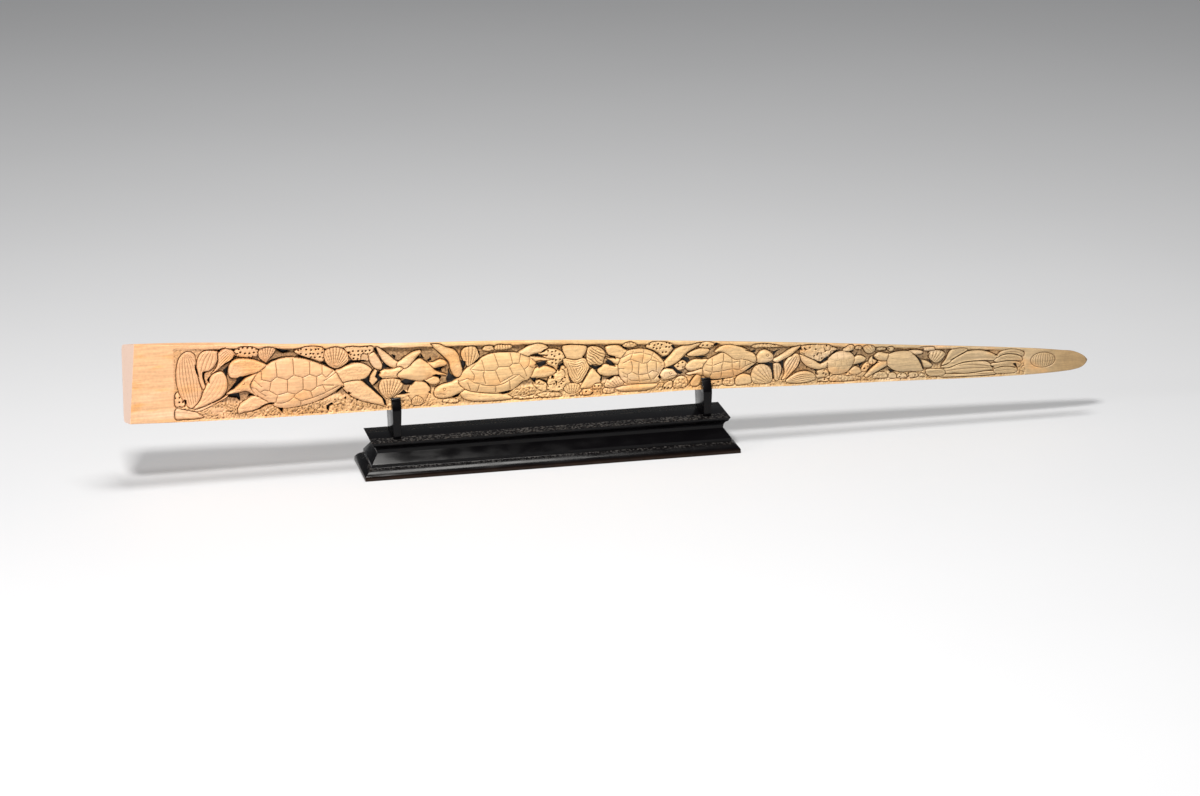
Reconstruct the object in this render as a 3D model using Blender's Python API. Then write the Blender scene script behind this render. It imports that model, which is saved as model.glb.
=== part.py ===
"""A carved swordfish bill lying on edge in two forks on a black lacquered stand.

The bill is one solid of bone: a flat carved face at the front, a rounded back, a sawn butt end and a
blunt tip.  The stand is a moulded base with two notched forks standing on it.  The origin is the centre
of the base's underside, X runs along the bill towards its tip, Y away from the carved face and Z up.
Sizes are written in millimetres and become metres where vertices are made.

The carving is laid out on the face in two measures: `along`, from the butt end, and `up`, from the
bill's lower edge.  `depth` goes into the bone from the face.
"""

from math import cos, hypot, pi, radians, sin

import bmesh
import bpy
import numpy as np

MM = 0.001
GAP = 0.3                      # clearance between pieces that touch

# ---------------------------------------------------------------- stand base
BASE_LENGTH = 389.0
BASE_DEPTH = 69.8
PLATE_INSET = 8.6              # the top plate's edge, in from the foot's
WAIST_INSET = 15.0             # the recessed waist, in from the foot's edge
STEP_INSET = 8.0
FILLET_HEIGHT = 4.0            # upright edge of the foot
OVOLO_TOP = 10.8               # where the rounded moulding meets the step
OVOLO_BULGE = 0.4              # 0 is a flat slope, 1 a full quarter round
STEP_TOP = 14.4
COVE_START = 24.0              # the waist flares out above this height
PLATE_UNDERSIDE = 32.0
BASE_TOP = 36.6
ARC_STEPS = 5

# ---------------------------------------------------------------- forks
BUTT_FORK_X = -158.3
TIP_FORK_X = 163.3
FORK_FOOT_DEPTH = 36.5
FORK_HEAD_DEPTH = 38.6         # the same for both forks, whatever their slot
FORK_HEAD_RISE = 14.0          # ear tips above the slot
FORK_EAR = 4.8                 # thickness of an arm near its tip
FORK_FOOT_THICKNESS = 7.4
FORK_EAR_THICKNESS = 9.8

# ---------------------------------------------------------------- bill
BUTT_X = -421.7
#           along   low    top   thickness
STATIONS = ((0,    71.1, 153.5, 23.5),
            (67,   68.6, 148.1, 22.8),
            (168,  66.2, 140.9, 21.2),
            (270,  65.3, 134.4, 19.4),
            (373,  63.9, 129.3, 17.6),
            (476,  62.8, 122.4, 16.0),
            (581,  62.2, 113.8, 14.5),
            (688,  58.3, 104.3, 12.8),
            (795,  55.1, 94.0,  11.2),
            (903,  51.9, 83.6,  9.8),
            (947,  51.8, 78.6,  9.0),
            (969,  52.4, 75.4,  8.4),
            (984,  53.6, 72.8,  7.6),
            (992,  55.6, 69.0,  6.8),
            (999,  60.4, 63.6,  5.0))
SECTION_POWER = 2.6            # roundness of the back, 2 is an ellipse
BUTT_POWER = 15.0              # nearly square at the butt
BUTT_REACH = 150.0             # where the butt's own shape has faded out
BUTT_DROP_TOP = 0.26           # the butt's top surface falls towards the back
BUTT_DROP_LOW = 0.20           # and so does its underside, less
BACK_STEPS = 10
BUTT_SKEW = 0.305              # the sawn end is askew, longer at the back
BUTT_LEAN = 0.085              # and square to the bill's sloping axis at the front
BUTT_LEAN_FADE = 0.9           # leaning this share less at the back
TIP_START = 984
BODY_STEP = 50.0               # spacing of the body's sections

# ---------------------------------------------------------------- carving
PANEL_START = 40.5             # the plain butt panel ends here
PANEL_END = 931.0
RIM = 3.0                      # uncarved band under the upper edge
SILL = 2.0                     # and along the lower edge
GROUND_DEPTH = 4.4             # depth of the ground at the butt, less towards the tip
GAP_SHARE = 0.35               # deep openings reach this share of the thickness
ROOT_SHARE = 0.36              # figures are rooted this deep
ROOT_LIMIT = 0.6               # or less near the edges, as a share of the bone behind them
PROUD = 2.0                    # cutters start this far in front of the face
FIGURE_MARGIN = 1.1            # figures stay this far inside the face's edges

# root (along, up), tip, width, bend, belly, heel share, bluntness
LEAVES = (((60, 13.5), (53, 74.5), 23, 0.0, 0.45, 0.05, 0.45),
          ((69, 38), (80, 73), 18, 1.8, 0.55, 0.1, 0.5),
          ((77, 44), (101, 72), 13.5, 1.5, 0.72, 0.1, 0.45),
          ((62, 14.5), (88, 49.8), 22, -4.6, 0.62, 0.05, 0.55),
          ((62, 10.5), (96, 27.5), 4.5, -0.6, 0.4, 0.3, 1.0),
          ((71, 4.0), (41.5, 11), 10, -1.2, 0.5, 0.4, 0.5),
          ((107, 21), (123, 21.5), 9, 1.5, 0.4, 0.2, 1.0),
          ((247, 43), (240, 62), 11, -1.5, 0.5, 0.4, 0.6),
          ((670, 8), (685, 34), 14, -2.0, 0.55, 0.2, 0.6),
          ((662, 6), (664, 27), 8.5, 0.0, 0.6, 0.3, 0.5),
          ((672, 4), (704, 9), 10, 0.8, 0.5, 0.4, 0.7))
FRONDS = (((838, 13), (868, 31), 8.0, 2.2, 0.5, 0.3, 0.8),
          ((840, 13.5), (899, 21.5), 11.5, 4.2, 0.5, 0.3, 0.8),
          ((838, 12), (893, 13.5), 6, 2.4, 0.5, 0.3, 0.8),
          ((836, 8.5), (898, 8.5), 5, 2.0, 0.5, 0.4, 0.8),
          ((832, 4.2), (890, 4.5), 4.5, 1.0, 0.5, 0.5, 0.8),
          ((893, 18.5), (929, 19.5), 8, 5.2, 0.5, 0.5, 0.8),
          ((890, 14.5), (928, 14), 8.5, 2.8, 0.5, 0.6, 0.8),
          ((889, 9.8), (926, 8), 6.5, 2.2, 0.5, 0.6, 0.8),
          ((890, 5.5), (918, 3.8), 4.5, 1.0, 0.5, 0.6, 0.8))
# carapace (centre, length, width, tilt, taper), then limbs as the leaves' rows
TURTLES = ((((166, 34.3), 93, 52, -8, 0.12),
            (((128, 37), (97.5, 28.5), 17, 1.0, 0.25, 0.9, 0.9),
             ((133, 52), (95.5, 50), 19, -2.5, 0.5, 0.75, 0.45),
             ((141, 17.5), (105, 7.5), 11.5, 0.0, 0.5, 0.7, 0.6),
             ((203, 41), (240.5, 42), 17.5, 1.0, 0.62, 0.75, 0.45),
             ((212, 30), (254, 2.5), 17, 2.2, 0.42, 0.8, 0.75))),
           (((285, 37), 43, 20, -3, 0.1),
            (((266, 37), (249.5, 37.5), 9.5, 0.0, 0.5, 0.8, 0.45),
             ((266, 42), (292, 58.5), 9, 1.5, 0.55, 0.6, 0.6),
             ((267, 43), (244.5, 67.5), 9, 1.0, 0.5, 0.6, 0.8),
             ((300, 42), (318, 43.5), 7.5, 1.0, 0.5, 0.8, 0.5),
             ((294, 28), (312, 26), 8.5, 1.0, 0.55, 0.6, 0.5))),
           (((371, 31.5), 80, 41, 10, 0.08),
            (((334, 20), (303.5, 14.5), 13, 0.5, 0.5, 0.9, 0.5),
             ((331, 30), (301, 63.5), 13.5, -5.5, 0.5, 0.8, 0.9),
             ((334, 10.5), (385, 5.5), 9.5, -1.2, 0.4, 0.6, 0.7),
             ((391, 48), (421.5, 54.5), 12, 1.5, 0.55, 0.4, 0.5),
             ((402, 41), (424, 43), 6, 0.8, 0.3, 0.9, 1.0),
             ((399, 29), (428.5, 29.5), 11, 1.0, 0.55, 0.6, 0.5))),
           (((518, 28), 53, 38, -4, 0.05),
            (((498, 43), (481, 50), 12, -1.0, 0.5, 0.8, 0.5),
             ((496, 37), (479.5, 39.5), 5, 0.0, 0.3, 1.0, 0.9),
             ((496, 27), (473, 27), 12.5, 1.0, 0.55, 0.8, 0.5),
             ((542, 28.5), (582, 47.5), 10.5, 1.6, 0.3, 0.7, 0.9),
             ((537, 18), (557, 16.5), 12.5, 0.0, 0.5, 0.8, 0.5),
             ((537, 7.5), (496, 5), 8, 1.4, 0.5, 0.6, 0.6))),
           (((608, 22.5), 69, 27, 6, 0.0),
            (((585, 29), (565, 26), 10.5, 1.0, 0.6, 0.7, 0.5),
             ((638, 33), (659.5, 32.5), 13, -1.0, 0.6, 0.75, 0.45),
             ((659, 28.5), (687, 41), 9.5, 0.5, 0.4, 0.6, 0.9),
             ((582, 14), (574, 4), 10, 0.0, 0.5, 0.7, 0.5),
             ((640, 31), (594, 38.5), 12, -4.6, 0.45, 0.6, 0.8))),
           (((730.5, 21.5), 30, 24, 12, 0.0),
            (((716, 19.5), (686.5, 29.5), 11, 2.0, 0.5, 0.8, 0.7),
             ((735, 31), (744, 38.5), 8, 0.0, 0.5, 0.8, 0.5),
             ((743, 22), (757.5, 26.5), 8, 0.5, 0.55, 0.7, 0.5),
             ((740, 12), (752, 10.5), 8.5, 1.0, 0.55, 0.8, 0.5),
             ((722, 10), (704, 9), 8, 1.0, 0.5, 0.8, 0.5))),
           (((799.5, 20.5), 39, 22, -14, 0.05),
            (((783, 26), (765, 26), 11.5, -1.0, 0.55, 0.8, 0.5),
             ((784, 16.5), (757, 6), 8.5, 2.6, 0.5, 0.7, 0.9),
             ((808, 27), (821, 31), 5.5, 1.0, 0.5, 0.7, 0.6),
             ((815, 16), (830, 14.5), 8, 1.5, 0.5, 0.7, 0.6),
             ((808, 9), (822, 5.5), 6, -1.0, 0.5, 0.7, 0.6))))
# hinge, radius, heading, spread
FANS = (((133, 56), 19, 92, 76),
        ((200, 46.5), 22, 72, 100),
        ((339, 40), 21.5, 84, 62),
        ((258, 10), 21, 92, 100),
        ((288, 4.5), 22.5, 86, 88),
        ((489, 3.5), 16, 82, 100),
        ((646, 2.5), 19.5, 84, 66),
        ((832, 17), 15.5, 70, 96),
        ((764, 28.5), 10.5, 128, 80))
# centre, length, width, tilt, lobes, wobble, squareness
CORALS = (((46.7, 23), 12.5, 17, 20, 3, 0.08, 2.0),
          ((114.5, 69), 25, 12, 0, 4, 0.05, 2.4),
          ((179, 63.5), 36, 14, -11, 5, 0.06, 2.4),
          ((229, 62), 29, 13, -4, 5, 0.10, 2.2),
          ((357, 58.5), 11, 6, 0, 3, 0.08, 2.2),
          ((375, 58.5), 20, 6.5, 0, 6, 0.05, 2.4),
          ((426, 44), 26, 18, -12, 5, 0.05, 2.2),
          ((449.5, 48), 26, 15, -3, 3, 0.05, 2.6),
          ((452, 28), 24, 28, 12, 3, 0.05, 2.3),
          ((470, 42), 20, 22, -20, 5, 0.05, 2.2),
          ((468, 19), 16, 16, 10, 3, 0.06, 2.2),
          ((437, 31), 8, 10, 0, 3, 0.05, 2.2),
          ((506, 50.5), 19, 6, -6, 7, 0.10, 2.2),
          ((538, 45.5), 30, 16, -10, 5, 0.08, 2.0),
          ((588, 44), 18, 6.5, -6, 5, 0.10, 2.2),
          ((579, 38.5), 20, 8, 8, 3, 0.06, 2.2),
          ((560, 27), 13, 11, 40, 3, 0.06, 2.2),
          ((654, 41), 27, 6, -3, 8, 0.08, 2.4),
          ((704, 34.5), 40, 14, -6, 6, 0.10, 2.2),
          ((748.5, 35), 7, 5.5, 0, 3, 0.08, 2.0),
          ((776, 34), 16, 4.6, -5, 5, 0.10, 2.2),
          ((825, 31.5), 11, 5, 0, 4, 0.10, 2.2))
# centre, length, width, tilt
STONES = (((597, 5.5), 11, 8, 0), ((610.5, 6), 12, 9, 2), ((626, 8), 17, 11, 4),
          ((411, 11), 22, 9, -32), ((430, 12), 13, 10, 10), ((420, 19), 15, 8, -8),
          ((434, 21), 9, 8, 0), ((446, 9), 12, 11, 0), ((461, 6), 14, 7, 0),
          ((474, 10.5), 11, 6, 0), ((424, 4.6), 22, 5, 0), ((320, 5), 14, 5.5, 0),
          ((555, 8), 15, 12, 10), ((565, 12), 9, 14, 10), ((745, 5), 16, 5.5, 4),
          ((763, 18), 12, 10, 45), ((775, 8), 15, 11, 10), ((795, 4.5), 14, 6, 0),
          ((710, 4.4), 14, 5, 0))
SHELL_OVAL = ((949, 14), 26, 15.5, -3)
OVAL_MOAT = 1.9                # width of the groove cut round the oval shell
MOAT_DEPTH = 0.9
# corners of the deep openings between the figures
OPENINGS = (((93, 25), (107, 26), (108, 17.5), (101, 20)),
            ((96, 30), (107, 44), (115, 43), (106, 37)),
            ((143, 69.5), (152, 66), (149, 63.5)),
            ((215, 49), (224, 53), (219, 54)),
            ((229, 55), (236, 58), (232, 60)),
            ((243, 66), (249, 59), (244, 60)),
            ((251, 49), (260, 43), (252, 42.5)),
            ((229, 32), (236, 32), (241, 26)),
            ((241, 25), (246, 40.5), (251, 31)),
            ((269, 28), (288, 27.5), (284, 24), (271, 24)),
            ((296, 49), (303, 51), (302, 47.5)),
            ((305, 38), (315, 41), (312, 36)),
            ((319, 39), (324, 30), (329, 27), (317, 23)),
            ((332, 46), (336, 45), (334, 36)),
            ((343, 42), (352, 46), (347, 46)),
            ((369, 8.8), (383, 11), (381, 7)),
            ((403, 46.5), (421, 50), (413, 45)),
            ((408, 37), (419, 40), (419, 35.5), (411, 34)),
            ((403, 23), (409, 22), (407, 18)),
            ((432, 31), (438, 36), (434, 36)),
            ((464, 32), (475, 32), (470, 27)),
            ((480, 42), (492, 40.5), (482, 45)),
            ((481, 36), (489, 31), (483, 31)),
            ((538, 38), (547, 38), (542, 34)),
            ((543, 25.5), (551, 27), (549, 24)),
            ((553, 23), (563, 17), (556, 17)),
            ((560, 34), (568, 33), (566, 28)),
            ((568, 16), (573, 16), (569, 5)),
            ((594, 43), (603, 45.5), (596, 45.8)),
            ((643, 24), (657, 25), (657, 21)),
            ((664, 25), (669, 26), (668, 12)),
            ((702, 26), (709, 22), (716, 27), (709, 20)),
            ((739, 32.5), (748, 35), (744, 31)),
            ((742, 17), (750, 19), (744, 14)),
            ((753, 6), (770, 23), (762, 14)),
            ((764, 9), (778, 16), (776, 13)),
            ((808, 28), (817, 22), (830, 18), (820, 20)),
            ((917, 12), (921, 10), (919, 8)))

# ---------------------------------------------------------------- finishes: colour, roughness
BONE = ("bone", (0.80, 0.62, 0.38), 0.5)
LACQUER = ("black_lacquer", (0.012, 0.010, 0.010), 0.16)


# ================================================================ helpers
def smooth(table, column, where):
    """A column of a table of stations, read between its rows on a smooth curve."""
    xs = np.array([row[0] for row in table], float)
    ys = np.array([row[column] for row in table], float)
    slopes = np.gradient(ys, xs)
    where = min(max(where, xs[0]), xs[-1])
    i = min(max(int(np.searchsorted(xs, where)) - 1, 0), len(xs) - 2)
    span = xs[i + 1] - xs[i]
    t = (where - xs[i]) / span
    return float((1 + 2 * t) * (1 - t) ** 2 * ys[i] + t * (1 - t) ** 2 * span * slopes[i]
                 + t * t * (3 - 2 * t) * ys[i + 1] + t * t * (t - 1) * span * slopes[i + 1])


def low_edge(along):
    return smooth(STATIONS, 1, along)


def face_height(along):
    return smooth(STATIONS, 2, along) - low_edge(along)


def thickness(along):
    return smooth(STATIONS, 3, along)


def relief(along):
    """Depth of the carving's ground, which gets shallower as the bill thins."""
    return GROUND_DEPTH * (thickness(along) / STATIONS[0][3]) ** 0.6


def on_face(along, up, depth):
    """World place, in metres, of a point given on the carved face."""
    return ((BUTT_X + along) * MM, (depth - thickness(along) / 2) * MM, (low_edge(along) + up) * MM)


def butt_share(along):
    """How much of the butt's squarer shape a section has: 1 at the butt, fading to 0."""
    return max(1 - along / BUTT_REACH, 0.0) ** 1.5


def section_power(along):
    return SECTION_POWER + (BUTT_POWER - SECTION_POWER) * butt_share(along)


def back_depth(along, up):
    """Depth of the rounded back behind a point of the face."""
    off_middle = abs(2 * up / face_height(along) - 1)
    power = section_power(along)
    return thickness(along) * (1 - min(off_middle, 1.0) ** power) ** (1 / power)


def within(along, up):
    """The same point, kept inside the face's upper and lower edges."""
    return along, min(max(up, FIGURE_MARGIN), face_height(along) - FIGURE_MARGIN)


def add_object(name, mesh, collection):
    obj = bpy.data.objects.new(name, mesh)
    collection.objects.link(obj)
    return obj


def rings_object(name, rings, collection):
    """A closed solid skinned over rings of points that all have the same count."""
    bm = bmesh.new()
    loops = [[bm.verts.new(point) for point in ring] for ring in rings]
    count = len(loops[0])
    for near, far in zip(loops, loops[1:]):
        for i in range(count):
            j = (i + 1) % count
            bm.faces.new((near[i], near[j], far[j], far[i]))
    bm.faces.new(loops[0][::-1])
    bm.faces.new(loops[-1])
    bmesh.ops.recalc_face_normals(bm, faces=bm.faces)
    mesh = bpy.data.meshes.new(name)
    bm.to_mesh(mesh)
    bm.free()
    return add_object(name, mesh, collection)


def boolean(obj, other, operation, self_overlap=False):
    """Cut or join with the exact solver, and keep the result as the object's mesh."""
    modifier = obj.modifiers.new(operation.title(), "BOOLEAN")
    modifier.operation = operation
    modifier.solver = "EXACT"
    modifier.use_self = self_overlap
    modifier.object = other
    depsgraph = bpy.context.evaluated_depsgraph_get()
    mesh = bpy.data.meshes.new_from_object(obj.evaluated_get(depsgraph))
    obj.modifiers.clear()
    obj.data = mesh


def finish(obj, finish_values):
    """Give an object its material."""
    name, colour, roughness = finish_values
    material = bpy.data.materials.get(name) or bpy.data.materials.new(name)
    material.use_nodes = True
    shader = material.node_tree.nodes["Principled BSDF"]
    shader.inputs["Base Color"].default_value = (*colour, 1)
    shader.inputs["Roughness"].default_value = roughness
    shader.inputs["Metallic"].default_value = 0.0
    material.diffuse_color = (*colour, 1)
    obj.data.materials.clear()
    obj.data.materials.append(material)


# ================================================================ outlines on the face
def blade_rails(root, tip, width, bend, belly, heel, bluntness, steps):
    """Left side, spine and right side of a leaf, frond, flipper or head, from root to tip."""
    root, tip = np.array(root, float), np.array(tip, float)
    chord = tip - root
    knee = (root + tip) / 2 + np.array((-chord[1], chord[0])) / hypot(*chord) * bend * 2
    left, spine, right = [], [], []
    for i in range(steps + 1):
        s = i / steps
        here = (1 - s) ** 2 * root + 2 * s * (1 - s) * knee + s * s * tip
        heading = 2 * (1 - s) * (knee - root) + 2 * s * (tip - knee)
        aside = np.array((-heading[1], heading[0])) / hypot(*heading)
        if s <= belly:
            share = heel + (1 - heel) * sin(pi / 2 * s / belly)
        else:
            share = max(cos(pi / 2 * (s - belly) / (1 - belly)), 0.0) ** bluntness
        share = max(share, 0.04)
        left.append(here + aside * share * width / 2)
        spine.append(here)
        right.append(here - aside * share * width / 2)
    return left, spine, right


def oval(centre, length, width, tilt, taper=0.0, lobes=0, wobble=0.0, square=2.0, count=16):
    """A carapace, coral head or stone: an oval that may taper, bulge in lobes or be squared off."""
    turn_cos, turn_sin = cos(radians(tilt)), sin(radians(tilt))
    points = []
    for i in range(count):
        angle = 2 * pi * i / count
        size = 1 + wobble * cos(lobes * angle + centre[0])
        x = abs(cos(angle)) ** (2 / square) * np.sign(cos(angle)) * size * length / 2
        y = abs(sin(angle)) ** (2 / square) * np.sign(sin(angle)) * size * width / 2
        y *= 1 - taper * cos(angle)
        points.append((centre[0] + x * turn_cos - y * turn_sin, centre[1] + x * turn_sin + y * turn_cos))
    return points


# ================================================================ figures
def prism(bm, outline, top_depth, bottom_share):
    """Walls and floor of a figure that stands on its outline; returns the upper ring of vertices."""
    upper, lower = [], []
    for along, up in outline:
        along, up = within(along, up)
        upper.append(bm.verts.new(on_face(along, up, top_depth * relief(along))))
        root = min(bottom_share * thickness(along), ROOT_LIMIT * back_depth(along, up))
        lower.append(bm.verts.new(on_face(along, up, root)))
    for i in range(len(upper)):
        j = (i + 1) % len(upper)
        bm.faces.new((upper[i], upper[j], lower[j], lower[i]))
    bm.faces.new(lower[::-1])
    return upper


def crown(bm, ring, centre, levels):
    """Close a figure's top with rings that step in and up to a dome."""
    middle = np.array(centre, float)
    outline = [(v.co.x / MM - BUTT_X, v.co.z / MM) for v in ring]
    outline = [(along, z - low_edge(along)) for along, z in outline]
    for share, depth in levels:
        inner = []
        for point in outline:
            along, up = middle + (np.array(point) - middle) * share
            inner.append(bm.verts.new(on_face(along, up, depth * relief(along))))
        for i in range(len(ring)):
            j = (i + 1) % len(ring)
            bm.faces.new((ring[j], ring[i], inner[i], inner[j]))
        ring = inner
    bm.faces.new(ring)


def add_oval(bm, outline, centre, edge, levels):
    """A domed figure such as a carapace, coral head or stone."""
    crown(bm, prism(bm, outline, edge, ROOT_SHARE), centre, levels)


def add_blade(bm, row, edge, ridge, steps):
    """A figure with a raised spine such as a leaf or flipper."""
    left, spine, right = blade_rails(*row, steps)
    count = len(left)
    ring = prism(bm, right + left[::-1], edge, ROOT_SHARE)
    middle = []
    for along, up in spine[1:-1]:
        along, up = within(along, up)
        middle.append(bm.verts.new(on_face(along, up, ridge * relief(along))))
    rights, lefts = ring[:count], ring[count:][::-1]
    bm.faces.new((lefts[0], rights[0], middle[0]))
    bm.faces.new((rights[-1], lefts[-1], middle[-1]))
    for side, flip in ((rights, False), (lefts, True)):
        chain = [middle[0], *middle, middle[-1]]
        for i in range(count - 1):
            face = [side[i], side[i + 1], chain[i + 1], chain[i]]
            face = list(dict.fromkeys(face))
            bm.faces.new(face[::-1] if flip else face)


def add_fan(bm, row, edge, rib, ribs=5):
    """A scallop shell: ribs run out from the hinge to a scalloped rim."""
    hinge, radius, heading, spread = row
    steps = 2 * ribs
    rim = []
    for i in range(steps + 1):
        s = i / steps
        angle = radians(heading - spread / 2 + spread * s)
        reach = radius * (1 - 0.2 * abs(2 * s - 1) ** 3 + (0.05 if i % 2 else 0.0))
        rim.append((hinge[0] + reach * cos(angle), hinge[1] + reach * sin(angle)))
    aside = radians(heading - 90)
    heel = [(hinge[0] + k * radius * 0.1 * cos(aside), hinge[1] + k * radius * 0.1 * sin(aside)) for k in (-1, 1)]
    ring = prism(bm, [heel[1], *rim, heel[0]], edge, ROOT_SHARE)
    along, up = hinge
    boss = bm.verts.new(on_face(along, up + 0.2 * radius * sin(radians(heading)), rib * relief(along)))
    for i, vert in enumerate(ring[1:-1]):
        if i % 2:
            vert.co.y += (rib - edge) * relief(rim[i][0]) * MM
    for i in range(len(ring)):
        bm.faces.new((ring[i], ring[(i + 1) % len(ring)], boss))


def figures_mesh():
    """Every raised figure of the carving, each a closed solid rooted in the bone."""
    bm = bmesh.new()
    for centre, length, width, tilt, lobes, wobble, square in CORALS:
        outline = oval(centre, length, width, tilt, 0.0, lobes, wobble, square, 10)
        add_oval(bm, outline, centre, 0.62, ((0.62, 0.38),))
    for centre, length, width, tilt in STONES:
        outline = oval(centre, length, width, tilt, 0.0, 4, 0.05, 2.6, 7)
        add_oval(bm, outline, centre, 0.74, ((0.62, 0.50),))
    for row in FANS:
        add_fan(bm, row, 0.58, 0.36)
    for row in LEAVES:
        add_blade(bm, row, 0.50, 0.22, 5)
    for row in FRONDS:
        add_blade(bm, row, 0.55, 0.18, 5)
    for carapace, limbs in TURTLES:
        centre, length, width, tilt, taper = carapace
        for row in limbs:
            add_blade(bm, row, 0.44, 0.16, 5)
        outline = oval(centre, length, width, tilt, taper, count=16)
        add_oval(bm, outline, centre, 0.34, ((0.78, 0.12), (0.42, 0.03)))
    outline = oval(*SHELL_OVAL, count=14)
    add_oval(bm, outline, SHELL_OVAL[0], 0.16, ((0.6, 0.03),))
    bmesh.ops.recalc_face_normals(bm, faces=bm.faces)
    mesh = bpy.data.meshes.new("figures")
    bm.to_mesh(mesh)
    bm.free()
    return mesh


# ================================================================ cuts
def openings_mesh():
    """Cutters for the deep openings between the figures and the groove round the oval shell."""
    bm = bmesh.new()
    centre, length, width, tilt = SHELL_OVAL
    moat = oval(centre, length + 2 * OVAL_MOAT, width + 2 * OVAL_MOAT, tilt, count=14)
    cuts = [(outline, GAP_SHARE, 0.0) for outline in OPENINGS] + [(moat, 0.0, MOAT_DEPTH)]
    for outline, share, fixed in cuts:
        front, back = [], []
        for along, up in outline:
            front.append(bm.verts.new(on_face(along, up, -PROUD)))
            back.append(bm.verts.new(on_face(along, up, share * thickness(along) + fixed)))
        for i in range(len(front)):
            j = (i + 1) % len(front)
            bm.faces.new((front[i], front[j], back[j], back[i]))
        bm.faces.new(front[::-1])
        bm.faces.new(back)
    bmesh.ops.recalc_face_normals(bm, faces=bm.faces)
    mesh = bpy.data.meshes.new("openings")
    bm.to_mesh(mesh)
    bm.free()
    return mesh


def ground_cutter(collection):
    """The long shallow recess that leaves a rim above, a sill below, the butt panel and the tip."""
    rings = []
    for along in np.linspace(PANEL_START, PANEL_END, 14):
        top = face_height(along) - RIM * (face_height(along) / face_height(0)) ** 0.5
        floor = relief(along)
        rings.append([on_face(along, up, depth) for up, depth in
                      ((SILL, -PROUD), (top, -PROUD), (top, floor), (SILL, floor))])
    return rings_object("ground_cutter", rings, collection)


# ================================================================ pieces
def section_ring(along):
    """One section of the bill: the flat face from its lower to its upper edge, then the rounded back."""
    height, deep, power = face_height(along), thickness(along), section_power(along)
    points = [(0.0, 0.0), (height / 2, 0.0), (height, 0.0)]
    for i in range(1, BACK_STEPS):
        angle = pi * i / BACK_STEPS
        up = height / 2 * (1 + abs(cos(angle)) ** (2 / power) * np.sign(cos(angle)))
        depth = deep * sin(angle) ** (2 / power)
        fall = BUTT_DROP_LOW + (BUTT_DROP_TOP - BUTT_DROP_LOW) * up / height
        points.append((up - fall * depth * butt_share(along), depth))
    ring = []
    for up, depth in points:
        x, y, z = on_face(along, up, depth)
        if along == 0:
            lean = BUTT_LEAN * (up - height / 2) * (1 - BUTT_LEAN_FADE * depth / deep)
            x += (lean - BUTT_SKEW * depth) * MM
        ring.append((x, y, z))
    return ring


def make_bill(collection, cutters):
    """The bill's body, its recessed ground and openings, and the figures standing on it."""
    alongs = list(np.arange(0, TIP_START, BODY_STEP)) + [TIP_START, 989, 993, 996.5, 999]
    bill = rings_object("bill", [section_ring(float(a)) for a in alongs], collection)
    boolean(bill, ground_cutter(cutters), "DIFFERENCE")
    boolean(bill, add_object("openings_cutter", openings_mesh(), cutters), "DIFFERENCE", True)
    boolean(bill, add_object("figures_tool", figures_mesh(), cutters), "UNION", True)
    finish(bill, BONE)
    return bill


def base_profile():
    """Inset from the foot's edge, and height, of each level of the moulded base."""
    levels = [(0.0, 0.0), (0.0, FILLET_HEIGHT)]
    rise = OVOLO_TOP - FILLET_HEIGHT
    for i in range(1, ARC_STEPS + 1):
        share, angle = i / ARC_STEPS, pi / 2 * i / ARC_STEPS
        inward = share + (1 - cos(angle) - share) * OVOLO_BULGE
        upward = share + (sin(angle) - share) * OVOLO_BULGE
        levels.append((STEP_INSET * inward, FILLET_HEIGHT + rise * upward))
    levels += [(STEP_INSET, STEP_TOP), (WAIST_INSET, STEP_TOP)]
    flare = WAIST_INSET - PLATE_INSET - 1.5
    for i in range(ARC_STEPS + 1):
        angle = pi / 2 * i / ARC_STEPS
        height = COVE_START + (PLATE_UNDERSIDE - COVE_START) * sin(angle)
        levels.append((WAIST_INSET - flare * (1 - cos(angle)), height))
    levels += [(PLATE_INSET, PLATE_UNDERSIDE), (PLATE_INSET, BASE_TOP - 0.6), (PLATE_INSET + 0.6, BASE_TOP)]
    return levels


def make_base(collection):
    """The moulded base: one block with the same profile on its four sides."""
    rings = []
    for inset, height in base_profile():
        x, y = BASE_LENGTH / 2 - inset, BASE_DEPTH / 2 - inset
        rings.append([(sx * x * MM, sy * y * MM, height * MM) for sx, sy in ((-1, -1), (1, -1), (1, 1), (-1, 1))])
    base = rings_object("stand_base", rings, collection)
    finish(base, LACQUER)
    return base


def fork_outline(slot_half, slot_bottom):
    """Half of a fork seen from its side, from the slot's middle out to the foot's middle."""
    head = FORK_HEAD_DEPTH / 2
    arm = head - slot_half
    tip = slot_bottom + FORK_HEAD_RISE
    ear_round = FORK_EAR / 2
    points = [(0.0, slot_bottom), (slot_half, slot_bottom), (slot_half, tip - ear_round)]
    for i in range(1, 6):
        angle = pi - pi * i / 6
        points.append((slot_half + ear_round * (1 + cos(angle)), tip - ear_round + ear_round * sin(angle)))
    points.append((slot_half + FORK_EAR, tip - ear_round))
    for s in (0.3, 0.6, 1.0):
        points.append((slot_half + FORK_EAR + (arm - FORK_EAR) * sin(pi / 2 * s),
                       tip - ear_round - (FORK_HEAD_RISE - ear_round) * s))
    foot = FORK_FOOT_DEPTH / 2
    floor = BASE_TOP + GAP
    for s in (0.25, 0.5, 0.75, 1.0):
        points.append((foot + (head - foot) * (1 + cos(pi * s)) / 2, slot_bottom + (floor - slot_bottom) * s))
    return points


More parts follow.
